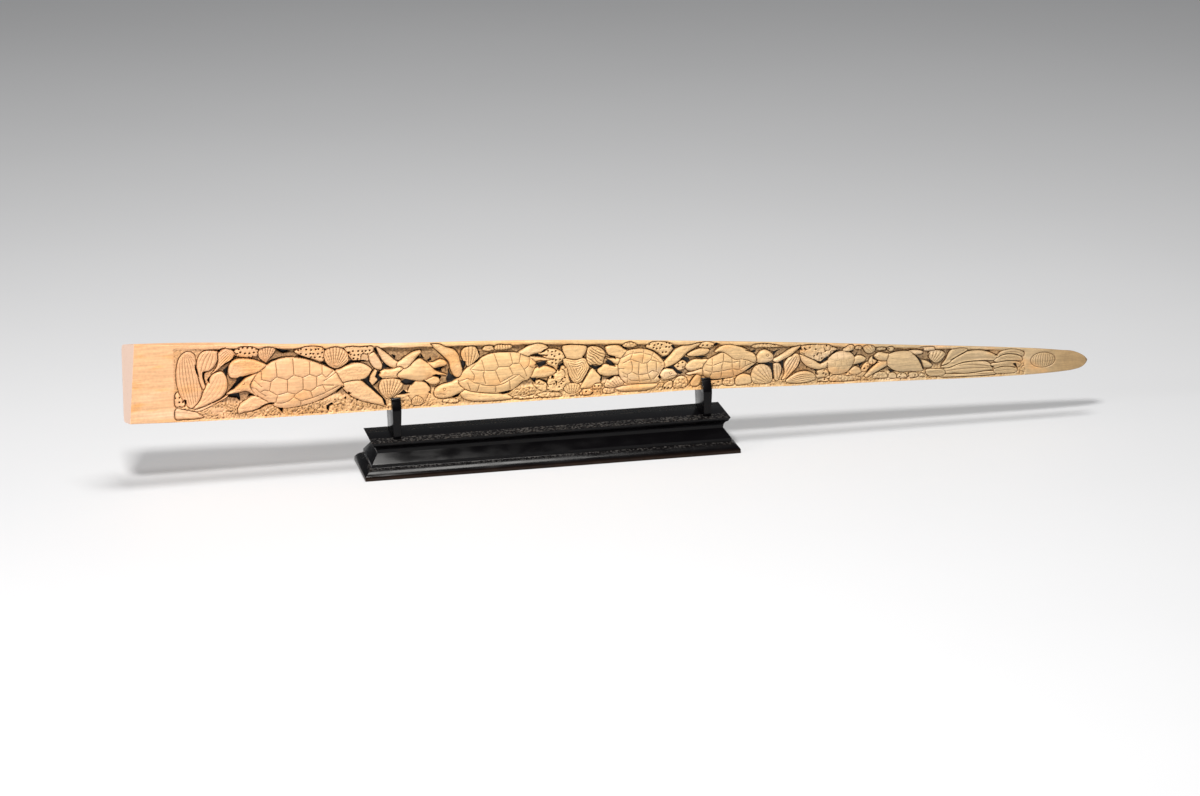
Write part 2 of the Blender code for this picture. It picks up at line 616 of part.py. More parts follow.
def make_fork(name, x, collection):
    """A fork cut from board: a foot that flares into two arms beside the bill's slot."""
    along = x - BUTT_X
    half = fork_outline(thickness(along) / 2 + GAP, low_edge(along) - GAP)
    outline = half + [(-y, z) for y, z in half[:0:-1]]
    curve = bpy.data.curves.new(name + "_outline", "CURVE")
    curve.dimensions = "2D"
    curve.fill_mode = "BOTH"
    curve.extrude = MM / 2
    spline = curve.splines.new("POLY")
    spline.points.add(len(outline) - 1)
    for point, (y, z) in zip(spline.points, outline):
        point.co = (y * MM, z * MM, 0.0, 1.0)
    spline.use_cyclic_u = True
    drawn = add_object(name + "_outline", curve, collection)
    depsgraph = bpy.context.evaluated_depsgraph_get()
    mesh = bpy.data.meshes.new_from_object(drawn.evaluated_get(depsgraph))
    bpy.data.objects.remove(drawn)
    bm = bmesh.new()
    bm.from_mesh(mesh)
    bmesh.ops.remove_doubles(bm, verts=bm.verts, dist=1e-6)
    ear_tip = max(v.co.y for v in bm.verts)
    foot = min(v.co.y for v in bm.verts)
    for vert in bm.verts:
        rise = (vert.co.y - foot) / (ear_tip - foot)
        board = FORK_FOOT_THICKNESS + (FORK_EAR_THICKNESS - FORK_FOOT_THICKNESS) * rise
        side = 1.0 if vert.co.z > 0 else -1.0
        vert.co = (x * MM + side * board / 2 * MM, vert.co.x, vert.co.y)
    bmesh.ops.recalc_face_normals(bm, faces=bm.faces)
    if bm.calc_volume(signed=True) < 0:
        bmesh.ops.reverse_faces(bm, faces=bm.faces)
    bm.to_mesh(mesh)
    bm.free()
    fork = add_object(name, mesh, collection)
    finish(fork, LACQUER)
    return fork


def main():
    for obj in list(bpy.data.objects):
        bpy.data.objects.remove(obj)
    model = bpy.data.collections.new("carved_swordfish_bill")
    cutters = bpy.data.collections.new("cutters")
    for collection in (model, cutters):
        bpy.context.scene.collection.children.link(collection)
    make_base(model)
    make_fork("fork_butt_end", BUTT_FORK_X, model)
    make_fork("fork_tip_end", TIP_FORK_X, model)
    make_bill(model, cutters)
    for cutter in cutters.objects:
        cutter.hide_render = True
        cutter.display_type = "WIRE"


main()
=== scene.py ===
"""A carved swordfish bill resting in the two forks of a black lacquered stand.

The bill's relief is worked out on a fine grid laid over its flat face.  Two measures place things there,
in millimetres: `along`, from the sawn butt towards the tip, and `up`, from the carving's lower edge.
Heights are zero on the face and negative into the bone.  Everything becomes metres when a mesh is made.
"""

import logging
import math
from dataclasses import dataclass, field
from enum import Enum
from typing import Callable

import bmesh
import bpy
import numpy as np
from mathutils import Matrix, Vector

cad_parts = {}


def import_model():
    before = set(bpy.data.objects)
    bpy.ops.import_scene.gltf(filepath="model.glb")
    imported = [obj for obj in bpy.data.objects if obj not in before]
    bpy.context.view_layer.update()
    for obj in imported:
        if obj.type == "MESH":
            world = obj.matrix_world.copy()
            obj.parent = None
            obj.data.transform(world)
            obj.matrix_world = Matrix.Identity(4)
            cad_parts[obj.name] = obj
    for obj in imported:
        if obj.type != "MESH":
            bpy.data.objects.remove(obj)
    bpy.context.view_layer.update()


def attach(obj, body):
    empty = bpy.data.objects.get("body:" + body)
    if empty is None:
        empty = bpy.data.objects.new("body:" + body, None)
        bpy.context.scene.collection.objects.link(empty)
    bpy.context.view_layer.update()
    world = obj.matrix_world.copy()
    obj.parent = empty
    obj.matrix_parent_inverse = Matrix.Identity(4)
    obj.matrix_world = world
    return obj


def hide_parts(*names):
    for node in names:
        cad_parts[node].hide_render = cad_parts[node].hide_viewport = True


MM = 0.001
# Each fork's piece, its node and where its middle stands along the base; the slack round the bill in a slot.
FORKS = (("butt_fork", "fork_butt_end", -158.3), ("tip_fork", "fork_tip_end", 163.3))
FORK_GAP = 0.3
LOG = logging.getLogger("carved_bill")
Point = tuple[float, float]
Array = np.ndarray
Socket = bpy.types.NodeSocket


# ==================================================================== small sums
def ease(values: Array) -> Array:
    """Smooth step from 0 to 1 of values that are clipped to that range."""
    clipped = np.clip(values, 0.0, 1.0)
    return clipped * clipped * (3.0 - 2.0 * clipped)


def nick(distance: Array, width: float) -> Array:
    """1 on a line, falling away to 0 at twice the width from it."""
    return np.exp(-((distance / width) ** 2))


def furrows(turns: Array, power: float) -> Array:
    """Evenly spaced furrows from 0 to 1, one to each turn, and the narrower the higher the power."""
    return (0.5 + 0.5 * np.cos(2 * np.pi * turns)) ** power


def hashed(x: Array, y: Array, seed: float) -> Array:
    """Repeatable scatter of numbers from 0 to 1, one for each lattice corner.

    Args:
        x: lattice column of each sample.
        y: lattice row of each sample.
        seed: picks one scatter among many.

    Returns:
        An array like x with values from 0 to 1.
    """
    mixed = np.sin(x * 127.1 + y * 311.7 + seed * 74.7) * 43758.5453
    return mixed - np.floor(mixed)


def grain(x: Array, y: Array, pitch: float, seed: float) -> Array:
    """Soft lumpy unevenness.

    Args:
        x: first measure of each sample, in millimetres.
        y: second measure of each sample, in millimetres.
        pitch: distance between lumps, in millimetres.
        seed: picks one pattern among many.

    Returns:
        Values from -1 to 1.
    """
    across, upward = np.floor(x / pitch), np.floor(y / pitch)
    fx, fy = ease(x / pitch - across), ease(y / pitch - upward)
    low = hashed(across, upward, seed) * (1 - fx) + hashed(across + 1, upward, seed) * fx
    high = hashed(across, upward + 1, seed) * (1 - fx) + hashed(across + 1, upward + 1, seed) * fx
    return (low * (1 - fy) + high * fy) * 2.0 - 1.0


def spots(x: Array, y: Array, pitch: float, seed: float, spread: float = 0.7) -> Array:
    """Distance from each sample to the nearest of some scattered centres.

    Args:
        x: first measure of each sample, in millimetres.
        y: second measure of each sample, in millimetres.
        pitch: mean distance between centres, in millimetres.
        seed: picks one scatter among many.
        spread: how far a centre strays from its place in the row, from 0 to 1.

    Returns:
        Distances in millimetres.
    """
    across, upward = np.floor(x / pitch), np.floor(y / pitch)
    nearest = np.full(x.shape, np.inf)
    for i in (-1, 0, 1):
        for j in (-1, 0, 1):
            column, row = across + i, upward + j
            dx = (column + 0.5 + spread * (hashed(column, row, seed) - 0.5) + 0.25 * (row % 2)) * pitch - x
            dy = (row + 0.5 + spread * (hashed(column, row, seed + 9) - 0.5)) * pitch - y
            nearest = np.minimum(nearest, dx * dx + dy * dy)
    return np.sqrt(nearest)


def line_distance(x: Array, y: Array, starts: Array, ends: Array) -> Array:
    """Distance from each sample to the nearest of some straight lines.

    Args:
        x: first measure of each sample.
        y: second measure of each sample.
        starts: (n, 2) first ends of the lines.
        ends: (n, 2) other ends of the lines.

    Returns:
        An array like x.
    """
    nearest = np.full(x.shape, np.inf)
    for (ax, ay), (bx, by) in zip(starts, ends):
        ex, ey = bx - ax, by - ay
        wx, wy = x - ax, y - ay
        t = np.clip((wx * ex + wy * ey) / (ex * ex + ey * ey + 1e-12), 0.0, 1.0)
        nearest = np.minimum(nearest, (wx - ex * t) ** 2 + (wy - ey * t) ** 2)
    return np.sqrt(nearest)


def inset_distance(x: Array, y: Array, outline: Array) -> Array:
    """Distance from each sample to a closed outline, positive inside it and negative outside.

    Args:
        x: first measure of each sample.
        y: second measure of each sample.
        outline: (n, 2) corners of the outline.

    Returns:
        An array like x.
    """
    following = np.roll(outline, -1, axis=0)
    inside = np.zeros(x.shape, bool)
    for (ax, ay), (bx, by) in zip(outline, following):
        if ay != by:
            inside ^= ((ay > y) != (by > y)) & (x < (bx - ax) * (y - ay) / (by - ay) + ax)
    distance = line_distance(x, y, outline, following)
    return np.where(inside, distance, -distance)


# ==================================================================== figure outlines
@dataclass(frozen=True)
class Blade:
    """The run of a leaf or frond from its root to its tip along a bent spine.

    Widths are in millimetres.  `belly` is where along the spine it is widest, `heel` its width at the root
    as a share of that, and `blunt` how full it stays towards the tip (small numbers are full).
    """

    root: Point
    tip: Point
    width: float
    bend: float = 0.0
    belly: float = 0.5
    heel: float = 0.3
    blunt: float = 0.6

    def half_width(self, share: Array) -> Array:
        """Half width at each share of the way along the spine."""
        rising = self.heel + (1 - self.heel) * np.sin(np.pi / 2 * share / self.belly)
        falling = np.clip(np.cos(np.pi / 2 * (share - self.belly) / (1 - self.belly)), 0, 1) ** self.blunt
        return self.width / 2 * np.maximum(np.where(share <= self.belly, rising, falling), 0.03)

    def spine(self, steps: int = 26) -> tuple[Array, Array, Array]:
        """Points of the spine, the sideways direction at each and their shares of its length."""
        share = np.linspace(0, 1, steps + 1)
        root, tip = np.array(self.root), np.array(self.tip)
        chord = tip - root
        knee = (root + tip) / 2 + np.array((-chord[1], chord[0])) / np.hypot(*chord) * self.bend * 2
        s = share[:, None]
        points = (1 - s) ** 2 * root + 2 * s * (1 - s) * knee + s * s * tip
        heading = 2 * (1 - s) * (knee - root) + 2 * s * (tip - knee)
        aside = np.stack((-heading[:, 1], heading[:, 0]), 1) / np.hypot(heading[:, 0], heading[:, 1])[:, None]
        return points, aside, share

    def across(self, x: Array, y: Array) -> tuple[Array, Array]:
        """Where samples lie on the blade.

        Args:
            x: along of each sample.
            y: up of each sample.

        Returns:
            The share of the spine's length, and the place across from -1 at one edge to 1 at the other.
        """
        points, aside, share = self.spine()
        best = np.full(x.shape, np.inf)
        where, offset = np.zeros(x.shape), np.zeros(x.shape)
        for i in range(len(points) - 1):
            ex, ey = points[i + 1] - points[i]
            wx, wy = x - points[i, 0], y - points[i, 1]
            t = np.clip((wx * ex + wy * ey) / (ex * ex + ey * ey), 0, 1)
            gap = (wx - ex * t) ** 2 + (wy - ey * t) ** 2
            nearer = gap < best
            best = np.where(nearer, gap, best)
            where = np.where(nearer, share[i] + t * (share[i + 1] - share[i]), where)
            offset = np.where(nearer, wx * aside[i, 0] + wy * aside[i, 1], offset)
        return where, offset / self.half_width(where)


@dataclass(frozen=True)
class Oval:
    """An oval on the face, its length turned up by a tilt in degrees."""

    centre: Point
    length: float
    width: float
    tilt: float = 0.0

    def outline(self, count: int = 64) -> Array:
        """The closed outline."""
        angle = np.linspace(0, 2 * np.pi, count, endpoint=False)
        cosine, sine = math.cos(math.radians(self.tilt)), math.sin(math.radians(self.tilt))
        x, y = np.cos(angle) * self.length / 2, np.sin(angle) * self.width / 2
        return np.stack((self.centre[0] + x * cosine - y * sine, self.centre[1] + x * sine + y * cosine), -1)

    def local(self, x: Array, y: Array) -> tuple[Array, Array]:
        """Samples in millimetres along and across the oval, from its centre."""
        cosine, sine = math.cos(math.radians(self.tilt)), math.sin(math.radians(self.tilt))
        dx, dy = x - self.centre[0], y - self.centre[1]
        return dx * cosine + dy * sine, dy * cosine - dx * sine


@dataclass(frozen=True)
class Drawn:
    """A closed outline drawn smoothly through a few points.  A point given twice is a sharp corner."""

    points: tuple[Point, ...]

    def outline(self, steps: int = 7) -> Array:
        """The closed outline."""
        knots = np.array(self.points, float)
        around = len(knots)
        made = []
        for i in range(around):
            before, start, end, after = (knots[(i + k) % around] for k in (-1, 0, 1, 2))
            if np.allclose(start, end):
                continue
            leave = (end - before) / 2 if not np.allclose(before, start) else (end - start) / 2
            arrive = (after - start) / 2 if not np.allclose(after, end) else (end - start) / 2
            t = np.linspace(0, 1, steps, endpoint=False)[:, None]
            curve = (1 + 2 * t) * (1 - t) ** 2 * start + t * (1 - t) ** 2 * leave
            made.append(curve + t * t * (3 - 2 * t) * end + t * t * (t - 1) * arrive)
        return np.concatenate(made)


@dataclass(frozen=True)
class Fan:
    """A scallop shell: it opens from a hinge towards a heading in degrees, over a spread in degrees."""

    hinge: Point
    radius: float
    heading: float
    spread: float
    ribs: int = 9

    def polar(self, x: Array, y: Array) -> tuple[Array, Array]:
        """Samples as a share of the spread, from 0 to 1, and a share of the radius."""
        dx, dy = x - self.hinge[0], y - self.hinge[1]
        turn = np.degrees(np.arctan2(dy, dx)) - self.heading
        turn = (turn + 180) % 360 - 180
        return turn / self.spread + 0.5, np.hypot(dx, dy) / self.radius


class Skin(Enum):
    """How the surface of a figure is worked."""

    SMOOTH = "smooth"
    FLUTED = "fluted"
    PORED = "pored"
    BRAIN = "brain"
    RIDGED = "ridged"
    KNOBBED = "knobbed"
    CRAGGY = "craggy"


# ==================================================================== the bill
@dataclass(frozen=True)
class BillForm:
    """The bill without its carving: stations of along, lower edge, upper edge and thickness.

    The back is rounded with `back_power`, and squarer at the butt with `butt_power`, over `butt_reach`.
    `butt_drop` is how much lower than the face the back lies there, at its lower and at its upper edge, as
    a share of the depth.  The sawn face runs back by `butt_skew` of the depth and leans by `butt_lean` of
    the height, of which `butt_lean_fade` is gone at the back.  Both go over `butt_fade` from the butt.
    """

    butt_x: float = -421.7
    length: float = 999.0
    stations: tuple[tuple[float, float, float, float], ...] = (
        (0, 71.1, 153.5, 23.5),
        (67, 68.6, 148.1, 22.8),
        (168, 66.2, 140.9, 21.2),
        (270, 65.3, 134.4, 19.4),
        (373, 63.9, 129.3, 17.6),
        (476, 62.8, 122.4, 16.0),
        (581, 62.2, 113.8, 14.5),
        (688, 58.3, 104.3, 12.8),
        (795, 55.1, 94.0, 11.2),
        (903, 51.9, 83.6, 9.8),
        (947, 51.8, 78.6, 9.0),
        (969, 52.4, 75.4, 8.4),
        (984, 53.6, 72.8, 7.6),
        (992, 55.6, 69.0, 6.8),
        (999, 60.4, 63.6, 5.0),
    )
    back_power: float = 2.6
    butt_power: float = 15.0
    butt_reach: float = 150.0
    butt_drop: tuple[float, float] = (0.20, 0.26)
    butt_skew: float = 0.302
    butt_lean: float = 0.085
    butt_lean_fade: float = 0.9
    butt_fade: float = 38.0
    ground_depth: float = 5.2

    def column(self, index: int, along: Array) -> Array:
        """A column of the stations on a smooth curve through its rows.

        Args:
            index: which column, from 1 to 3.
            along: where it is wanted.

        Returns:
            An array like along, in millimetres.
        """
        xs = np.array([row[0] for row in self.stations], float)
        ys = np.array([row[index] for row in self.stations], float)
        slopes = np.gradient(ys, xs)
        i = np.clip(np.searchsorted(xs, along) - 1, 0, len(xs) - 2)
        span = xs[i + 1] - xs[i]
        t = np.clip((along - xs[i]) / span, 0, 1)
        start = (1 + 2 * t) * (1 - t) ** 2 * ys[i] + t * (1 - t) ** 2 * span * slopes[i]
        return start + t * t * (3 - 2 * t) * ys[i + 1] + t * t * (t - 1) * span * slopes[i + 1]

    def low(self, along: Array) -> Array:
        """Height of the lower edge above the ground."""
        return self.column(1, along)

    def tall(self, along: Array) -> Array:
        """Height of the face from its lower edge to its upper edge."""
        return self.column(2, along) - self.column(1, along)

    def thick(self, along: Array) -> Array:
        """Thickness from the face to the back."""
        return self.column(3, along)

    def relief(self, along: Array) -> Array:
        """Depth of the carving's ground, which gets shallower as the bill thins."""
        return self.ground_depth * (self.thick(along) / self.stations[0][3]) ** 0.6

    def place(self, along: Array, up: Array, height: Array) -> Array:
        """World places of points given on the face.

        Args:
            along: distance from the butt.
            up: distance from the lower edge.
            height: height over the face, negative into the bone.

        Returns:
            An array with a last axis of x, y and z, in metres.
        """
        tall, thick, depth = self.tall(along), self.thick(along), -height
        fade = np.clip(1 - along / self.butt_fade, 0, 1)
        lean = self.butt_lean * (up - tall / 2) * (1 - self.butt_lean_fade * depth / thick)
        askew = lean - self.butt_skew * depth
        x = self.butt_x + along + askew * fade
        return np.stack((x, depth - thick / 2, self.low(along) + up), -1) * MM

    def back(self, along: Array, steps: int) -> tuple[Array, Array]:
        """The rounded back, from the upper edge round to the lower edge, without the edges themselves.

        Args:
            along: (n, 1) distances from the butt.
            steps: how many spans the back has.

        Returns:
            Up and height arrays of n rows and steps - 1 columns.
        """
        angle = np.linspace(0, np.pi, steps + 1)[None, 1:-1]
        butt = np.clip(1 - along / self.butt_reach, 0, 1) ** 1.5
        power = self.back_power + (self.butt_power - self.back_power) * butt
        tall, thick = self.tall(along), self.thick(along)
        up = tall / 2 * (1 + np.abs(np.cos(angle)) ** (2 / power) * np.sign(np.cos(angle)))
        depth = thick * np.sin(angle) ** (2 / power)
        fall = self.butt_drop[0] + (self.butt_drop[1] - self.butt_drop[0]) * up / tall
        return up - fall * depth * butt, -depth


class Relief:
    """Heights of the carved face on a fine grid, raised and cut figure by figure from the ground up."""

    def __init__(self, form: BillForm, spacing: float, rows: int, lift: float) -> None:
        """Lay the grid over the face.

        Args:
            form: the uncarved bill.
            spacing: distance between columns of the grid, in millimetres.
            rows: points in each column, from the lower edge to the upper.
            lift: height of the carving's own lower edge above the bill's, in millimetres.
        """
        self.form = form
        self.columns = np.linspace(0.0, form.length, int(form.length / spacing) + 1)
        share = np.linspace(0, 1, rows)[None, :]
        self.tall = form.tall(self.columns)[:, None]
        self.rise = self.tall * share
        self.along = np.broadcast_to(self.columns[:, None], self.rise.shape)
        self.up = self.rise - lift
        self.unit = np.broadcast_to(form.relief(self.columns)[:, None], self.rise.shape)
        self.thick = form.thick(self.columns)[:, None]
        self.height = np.zeros(self.rise.shape)
        self.ochre = np.zeros(self.rise.shape)

    def window(self, outline: Array, margin: float = 3.0) -> slice:
        """The columns of the grid that an outline and a margin round it cover."""
        first = np.searchsorted(self.columns, outline[:, 0].min() - margin)
        last = np.searchsorted(self.columns, outline[:, 0].max() + margin)
        return slice(int(first), int(last))

    def stand(
        self,
        outline: Array,
        edge: float,
        top: float,
        shoulder: float,
        detail: Callable[[Array, Array, Array], Array] | None = None,
        groove: float = 0.32,
    ) -> None:
        """Raise one figure over whatever lies beneath it, with a rounded shoulder and a cut line round it.

        Args:
            outline: its closed outline.
            edge: depth of its edge, as a share of the ground's depth.
            top: depth of its top, likewise.
            shoulder: width of the rounded shoulder, in millimetres.
            detail: makes the extra height of its surface, in millimetres, from along, up and inset.
            groove: depth of the line cut round it, as a share of the ground's depth.
        """
        span = self.window(outline)
        x, y, unit = self.along[span], self.up[span], self.unit[span]
        inset = inset_distance(x, y, outline)
        swell = np.clip(1 - (1 - np.clip(inset / shoulder, 0, 1)) ** 2, 0, 1) ** 0.7
        own = -(edge + (top - edge) * swell) * unit
        if detail is not None:
            own = own + detail(x, y, inset) * unit / self.form.ground_depth
        under = self.height[span] - groove * unit * nick(inset, 0.6) * (inset <= 0)
        cover = ease((inset + 0.22) / 0.44)
        self.height[span] = under * (1 - cover) + own * cover
        self.ochre[span] *= 1 - cover

    def hollow(self, outline: Array, depth: float) -> None:
        """Cut a deep opening with softened walls, to a depth that is a share of the bill's thickness."""
        span = self.window(outline)
        inset = inset_distance(self.along[span], self.up[span], outline)
        cut = -depth * self.thick[span] * ease((inset + 0.9) / 1.5)
        self.height[span] = np.minimum(self.height[span], cut)

    def score(self, span: slice, distance: Array, depth: float, width: float) -> None:
        """Cut a thin line into the surface where a distance is small."""
        self.height[span] = self.height[span] - depth * nick(distance, width)

    def softened(self, values: Array, radius: float) -> Array:
        """Mean of values over a square of the face around each point.

        Args:
            values: an array like the grid.
            radius: half the square's side, in millimetres.

        Returns:
            An array like values.
        """
        reach = radius / self.tall * (values.shape[1] - 1)
        index = np.arange(values.shape[1])[None, :]
        sums = np.concatenate((np.zeros((len(values), 1)), np.cumsum(values, axis=1)), axis=1)
        ends = []
        for side in (1, -1):
            place = np.clip(index + 0.5 + side * (reach + 0.5), 0, values.shape[1])
            whole = np.minimum(place.astype(int), values.shape[1] - 1)
            part = place - whole
            low = np.take_along_axis(sums, whole, axis=1)
            high = np.take_along_axis(sums, whole + 1, axis=1)
            ends.append((low * (1 - part) + high * part, place))
        mean = (ends[0][0] - ends[1][0]) / (ends[0][1] - ends[1][1])
        count = max(int(round(radius / (self.columns[1] - self.columns[0]))), 1)
        padded = np.pad(mean, ((count + 1, count), (0, 0)), mode="edge")
        sums = np.cumsum(padded, axis=0)
        return (sums[2 * count + 1 :] - sums[: -(2 * count + 1)]) / (2 * count + 1)


@dataclass(frozen=True)
class Ground:
    """The carving's ground: a deeper ochre band under a plain rim, and a pitted sea floor below."""

    start: float = 40.5
    end: float = 931.0
    rim: float = 3.0
    floor_top: float = 15.0
    seed: float = 3.0

    def carve(self, relief: Relief) -> None:
        """Sink the ground and roughen it."""
        x, y, unit = relief.along, relief.up, relief.unit
        share = relief.tall / relief.tall[0]
        below_rim = relief.tall - relief.rise - self.rim * np.sqrt(share)
        inside = ease((below_rim + 0.6 * grain(x, y, 6.0, self.seed + 7)) / 3.2)
        inside = inside * ease((x - self.start) / 3.0)
        inside = inside * ease((self.end - x + 2.5 * grain(x, y, 5.0, self.seed)) / 4.0)
        bank = self.floor_top * share**0.6 + 4.0 * grain(x, y * 0.3, 17.0, self.seed + 1)
        high = ease((y - bank) / 5.0)
        lumps = 0.6 * grain(x, y, 3.4, self.seed + 2) + 0.6 * grain(x, y, 1.5, self.seed + 3)
        depth = 0.46 + 0.20 * lumps + high * (0.48 - 0.12 * lumps)
        depth = depth * (0.16 + 0.84 * ease((x - 48) / 50)) * (0.45 + 0.55 * ease((930 - x) / 60))
        bend_x, bend_y = 2.2 * grain(x, y, 7.0, self.seed + 4), 1.6 * grain(x, y, 5.0, self.seed + 6)
        cracks = ease((0.22 - np.abs(grain(x + bend_x, y + bend_y, 5.2, self.seed + 5))) / 0.22)
        crumbs = ease((spots(x + bend_x, y + bend_y, 2.6, self.seed + 8, 0.95) - 0.7) / 0.9)
        patches = ease((grain(x, y, 9.0, self.seed + 9) + 0.9) / 0.9)
        cut = depth + (1 - high) * patches * (0.12 * cracks + 0.16 * crumbs) + high * 0.10 * crumbs
        sill = 1 - 0.55 * ease((2.2 - relief.rise) / 2.2)
        relief.height -= unit * cut * inside * sill
        band = ease((y - (relief.tall - 13.5 * share**0.7)) / 3.0) * ease((x - 78) / 20)
        relief.ochre += inside * (high * np.maximum(band, 0.35) + (1 - high) * 0.55 * patches)


@dataclass(frozen=True)
class Plant:
    """A leaf or frond whose flutes follow a bent blade."""

    shape: Drawn
    blade: Blade
    flutes: float = 3.5
    depth: float = 0.7
    edge: float = 0.66
    top: float = 0.14

    def surface(self, x: Array, y: Array, inset: Array) -> Array:
        """Flutes that run with the leaf, a hollow down its middle and a slightly raised lip."""
        share, place = self.blade.across(x, y)
        lines = furrows(self.flutes * (place + 0.10 * share), 3)
        fade = ease(share / 0.10) * ease((inset - 0.5) / 1.2)
        hollow = np.clip(1 - place**2, 0, 1) * ease(inset / 3.0)
        return -self.depth * lines * fade - 0.45 * hollow + 0.05 * grain(x, y, 2.0, self.flutes)

    def carve(self, relief: Relief) -> None:
        """Raise the plant from the ground."""
        shoulder = min(2.8, self.blade.width / 3.2)
        relief.stand(self.shape.outline(), self.edge, self.top, shoulder, self.surface)


@dataclass(frozen=True)
class Scallop:
    """A scallop shell with ribs that open from its hinge, and a few growth lines."""

    shape: Drawn
    fan: Fan
    edge: float = 0.62
    top: float = 0.16

    def surface(self, x: Array, y: Array, inset: Array) -> Array:
        """Ribs crossed by faint growth lines."""
        share, reach = self.fan.polar(x, y)
        valleys = furrows(self.fan.ribs * share, 1.6)
        growth = furrows(reach * self.fan.radius / 3.4, 5)
        return (-0.95 * valleys - 0.2 * growth) * ease((inset - 0.2) / 1.2)

    def carve(self, relief: Relief) -> None:
        """Raise the shell from the ground."""
        relief.stand(self.shape.outline(), self.edge, self.top, shoulder=4.0, detail=self.surface)


@dataclass(frozen=True)
class Lump:
    """A coral head or a stone, with its own skin."""

    shape: Drawn
    skin: Skin = Skin.SMOOTH
    edge: float = 0.70
    top: float = 0.20
    shoulder: float = 2.5

    def surface(self, x: Array, y: Array, inset: Array) -> Array:
        """Extra height for the skin, in millimetres."""
        centre = np.mean(self.shape.points, axis=0)
        seed = float(centre[0])
        along, across = x - centre[0], y - centre[1]
        uneven = 0.22 * grain(x, y, 3.0, seed) + 0.14 * grain(x, y, 1.4, seed + 1)
        if self.skin is Skin.PORED:
            return uneven - 3.0 * ease((1.25 - spots(x, y, 4.4, seed, 0.5)) / 0.7) * ease((inset - 0.4) / 1.0)
        if self.skin is Skin.BRAIN:
            folds = inset + 0.7 * grain(x, y, 6.0, seed)
            return uneven - 0.9 * furrows(folds / 2.3, 2)
        if self.skin is Skin.RIDGED:
            folds = across * 0.85 + along * 0.6 + 1.1 * grain(x, y, 6.0, seed)
            return uneven - 1.3 * furrows(folds / 2.9, 2)
        if self.skin is Skin.FLUTED:
            return uneven - 0.9 * furrows(along / 2.8, 2)
        if self.skin is Skin.KNOBBED:
            return 0.6 * uneven - 1.0 * ease((spots(x, y, 3.4, seed) - 0.9) / 0.9)
        if self.skin is Skin.CRAGGY:
            cracks = np.abs(grain(x, y, 6.5, seed + 2))
            holes = ease((1.2 - spots(x, y, 6.5, seed, 0.9)) / 0.8)
            return 2.6 * uneven - 1.8 * ease((0.18 - cracks) / 0.18) - 3.0 * holes
        return 0.8 * uneven

    def carve(self, relief: Relief) -> None:
        """Raise the coral or stone from the ground."""
        relief.stand(self.shape.outline(), self.edge, self.top, self.shoulder, self.surface)


@dataclass(frozen=True)
class Turtle:
    """A sea turtle: a domed shell with scutes, flippers, a tail and a head with an eye.

    `seams` are the lines between the shell's scutes, each a run of points.  `over` holds limbs that lie over
    the shell, and `mouth` is the line of the beak.
    """

    shell: Drawn
    head: Drawn
    limbs: tuple[Drawn, ...]
    seams: tuple[tuple[Point, ...], ...] = ()
    eye: Point = (0.0, 0.0)
    mouth: tuple[Point, ...] = ()
    over: tuple[Drawn, ...] = ()
    rise: float = 11.0
    seam_depth: float = 0.9
    eye_size: float = 1.2

    def dome(self, x: Array, y: Array, inset: Array) -> Array:
        """Scutes on the shell: cut seams in wider valleys, so that each scute swells between them."""
        uneven = 0.09 * grain(x, y, 4.4, self.eye[0]) + 0.07 * grain(x, y, 1.6, self.eye[1])
        starts = np.array([first for run in self.seams for first in run[:-1]], float).reshape(-1, 2)
        ends = np.array([second for run in self.seams for second in run[1:]], float).reshape(-1, 2)
        gap = line_distance(x, y, starts, ends)
        seam, valley = nick(gap, 0.5), nick(gap, 2.4)
        cut = -self.seam_depth * seam - 0.45 * self.seam_depth * valley
        return cut * ease(inset / 1.0) + uneven

    def skin(self, x: Array, y: Array, inset: Array) -> Array:
        """Small scales on the limbs."""
        scales = spots(x, y, 2.4, self.eye[0])
        made = -0.22 * ease((scales - 0.85) / 0.5) * ease((inset - 0.8) / 1.5)
        return made + 0.16 * grain(x, y, 3.2, 7.0) + 0.10 * grain(x, y, 1.5, 8.0)

    def face(self, x: Array, y: Array, inset: Array) -> Array:
        """The head: an eye in its socket, the line of the beak and a few brow plates."""
        ring = np.hypot(x - self.eye[0], y - self.eye[1])
        size = self.eye_size
        made = -0.95 * nick(ring - size, 0.42) + 0.3 * nick(ring, size * 0.6)
        if self.mouth:
            runs = np.array(self.mouth, float)
            made = made - 0.8 * nick(line_distance(x, y, runs[:-1], runs[1:]), 0.45)
        plates = ease((spots(x, y, 3.8, self.eye[0] + 1) - 1.45) / 0.5) * ease((ring - size - 0.8) / 0.8)
        return made - 0.25 * plates * ease((inset - 0.8) / 1.2)

    def carve(self, relief: Relief) -> None:
        """Raise the limbs, then the head, then the shell, then any limb that lies over it."""
        for limb in self.limbs:
            relief.stand(limb.outline(), edge=0.74, top=0.16, shoulder=3.2, detail=self.skin)
        relief.stand(self.head.outline(), edge=0.72, top=0.06, shoulder=3.8, detail=self.face)
        shell = self.shell.outline()
        relief.stand(shell, edge=0.62, top=0.0, shoulder=self.rise, detail=self.dome, groove=0.40)
        for limb in self.over:
            relief.stand(limb.outline(), edge=0.34, top=0.0, shoulder=3.2, detail=self.skin, groove=0.3)


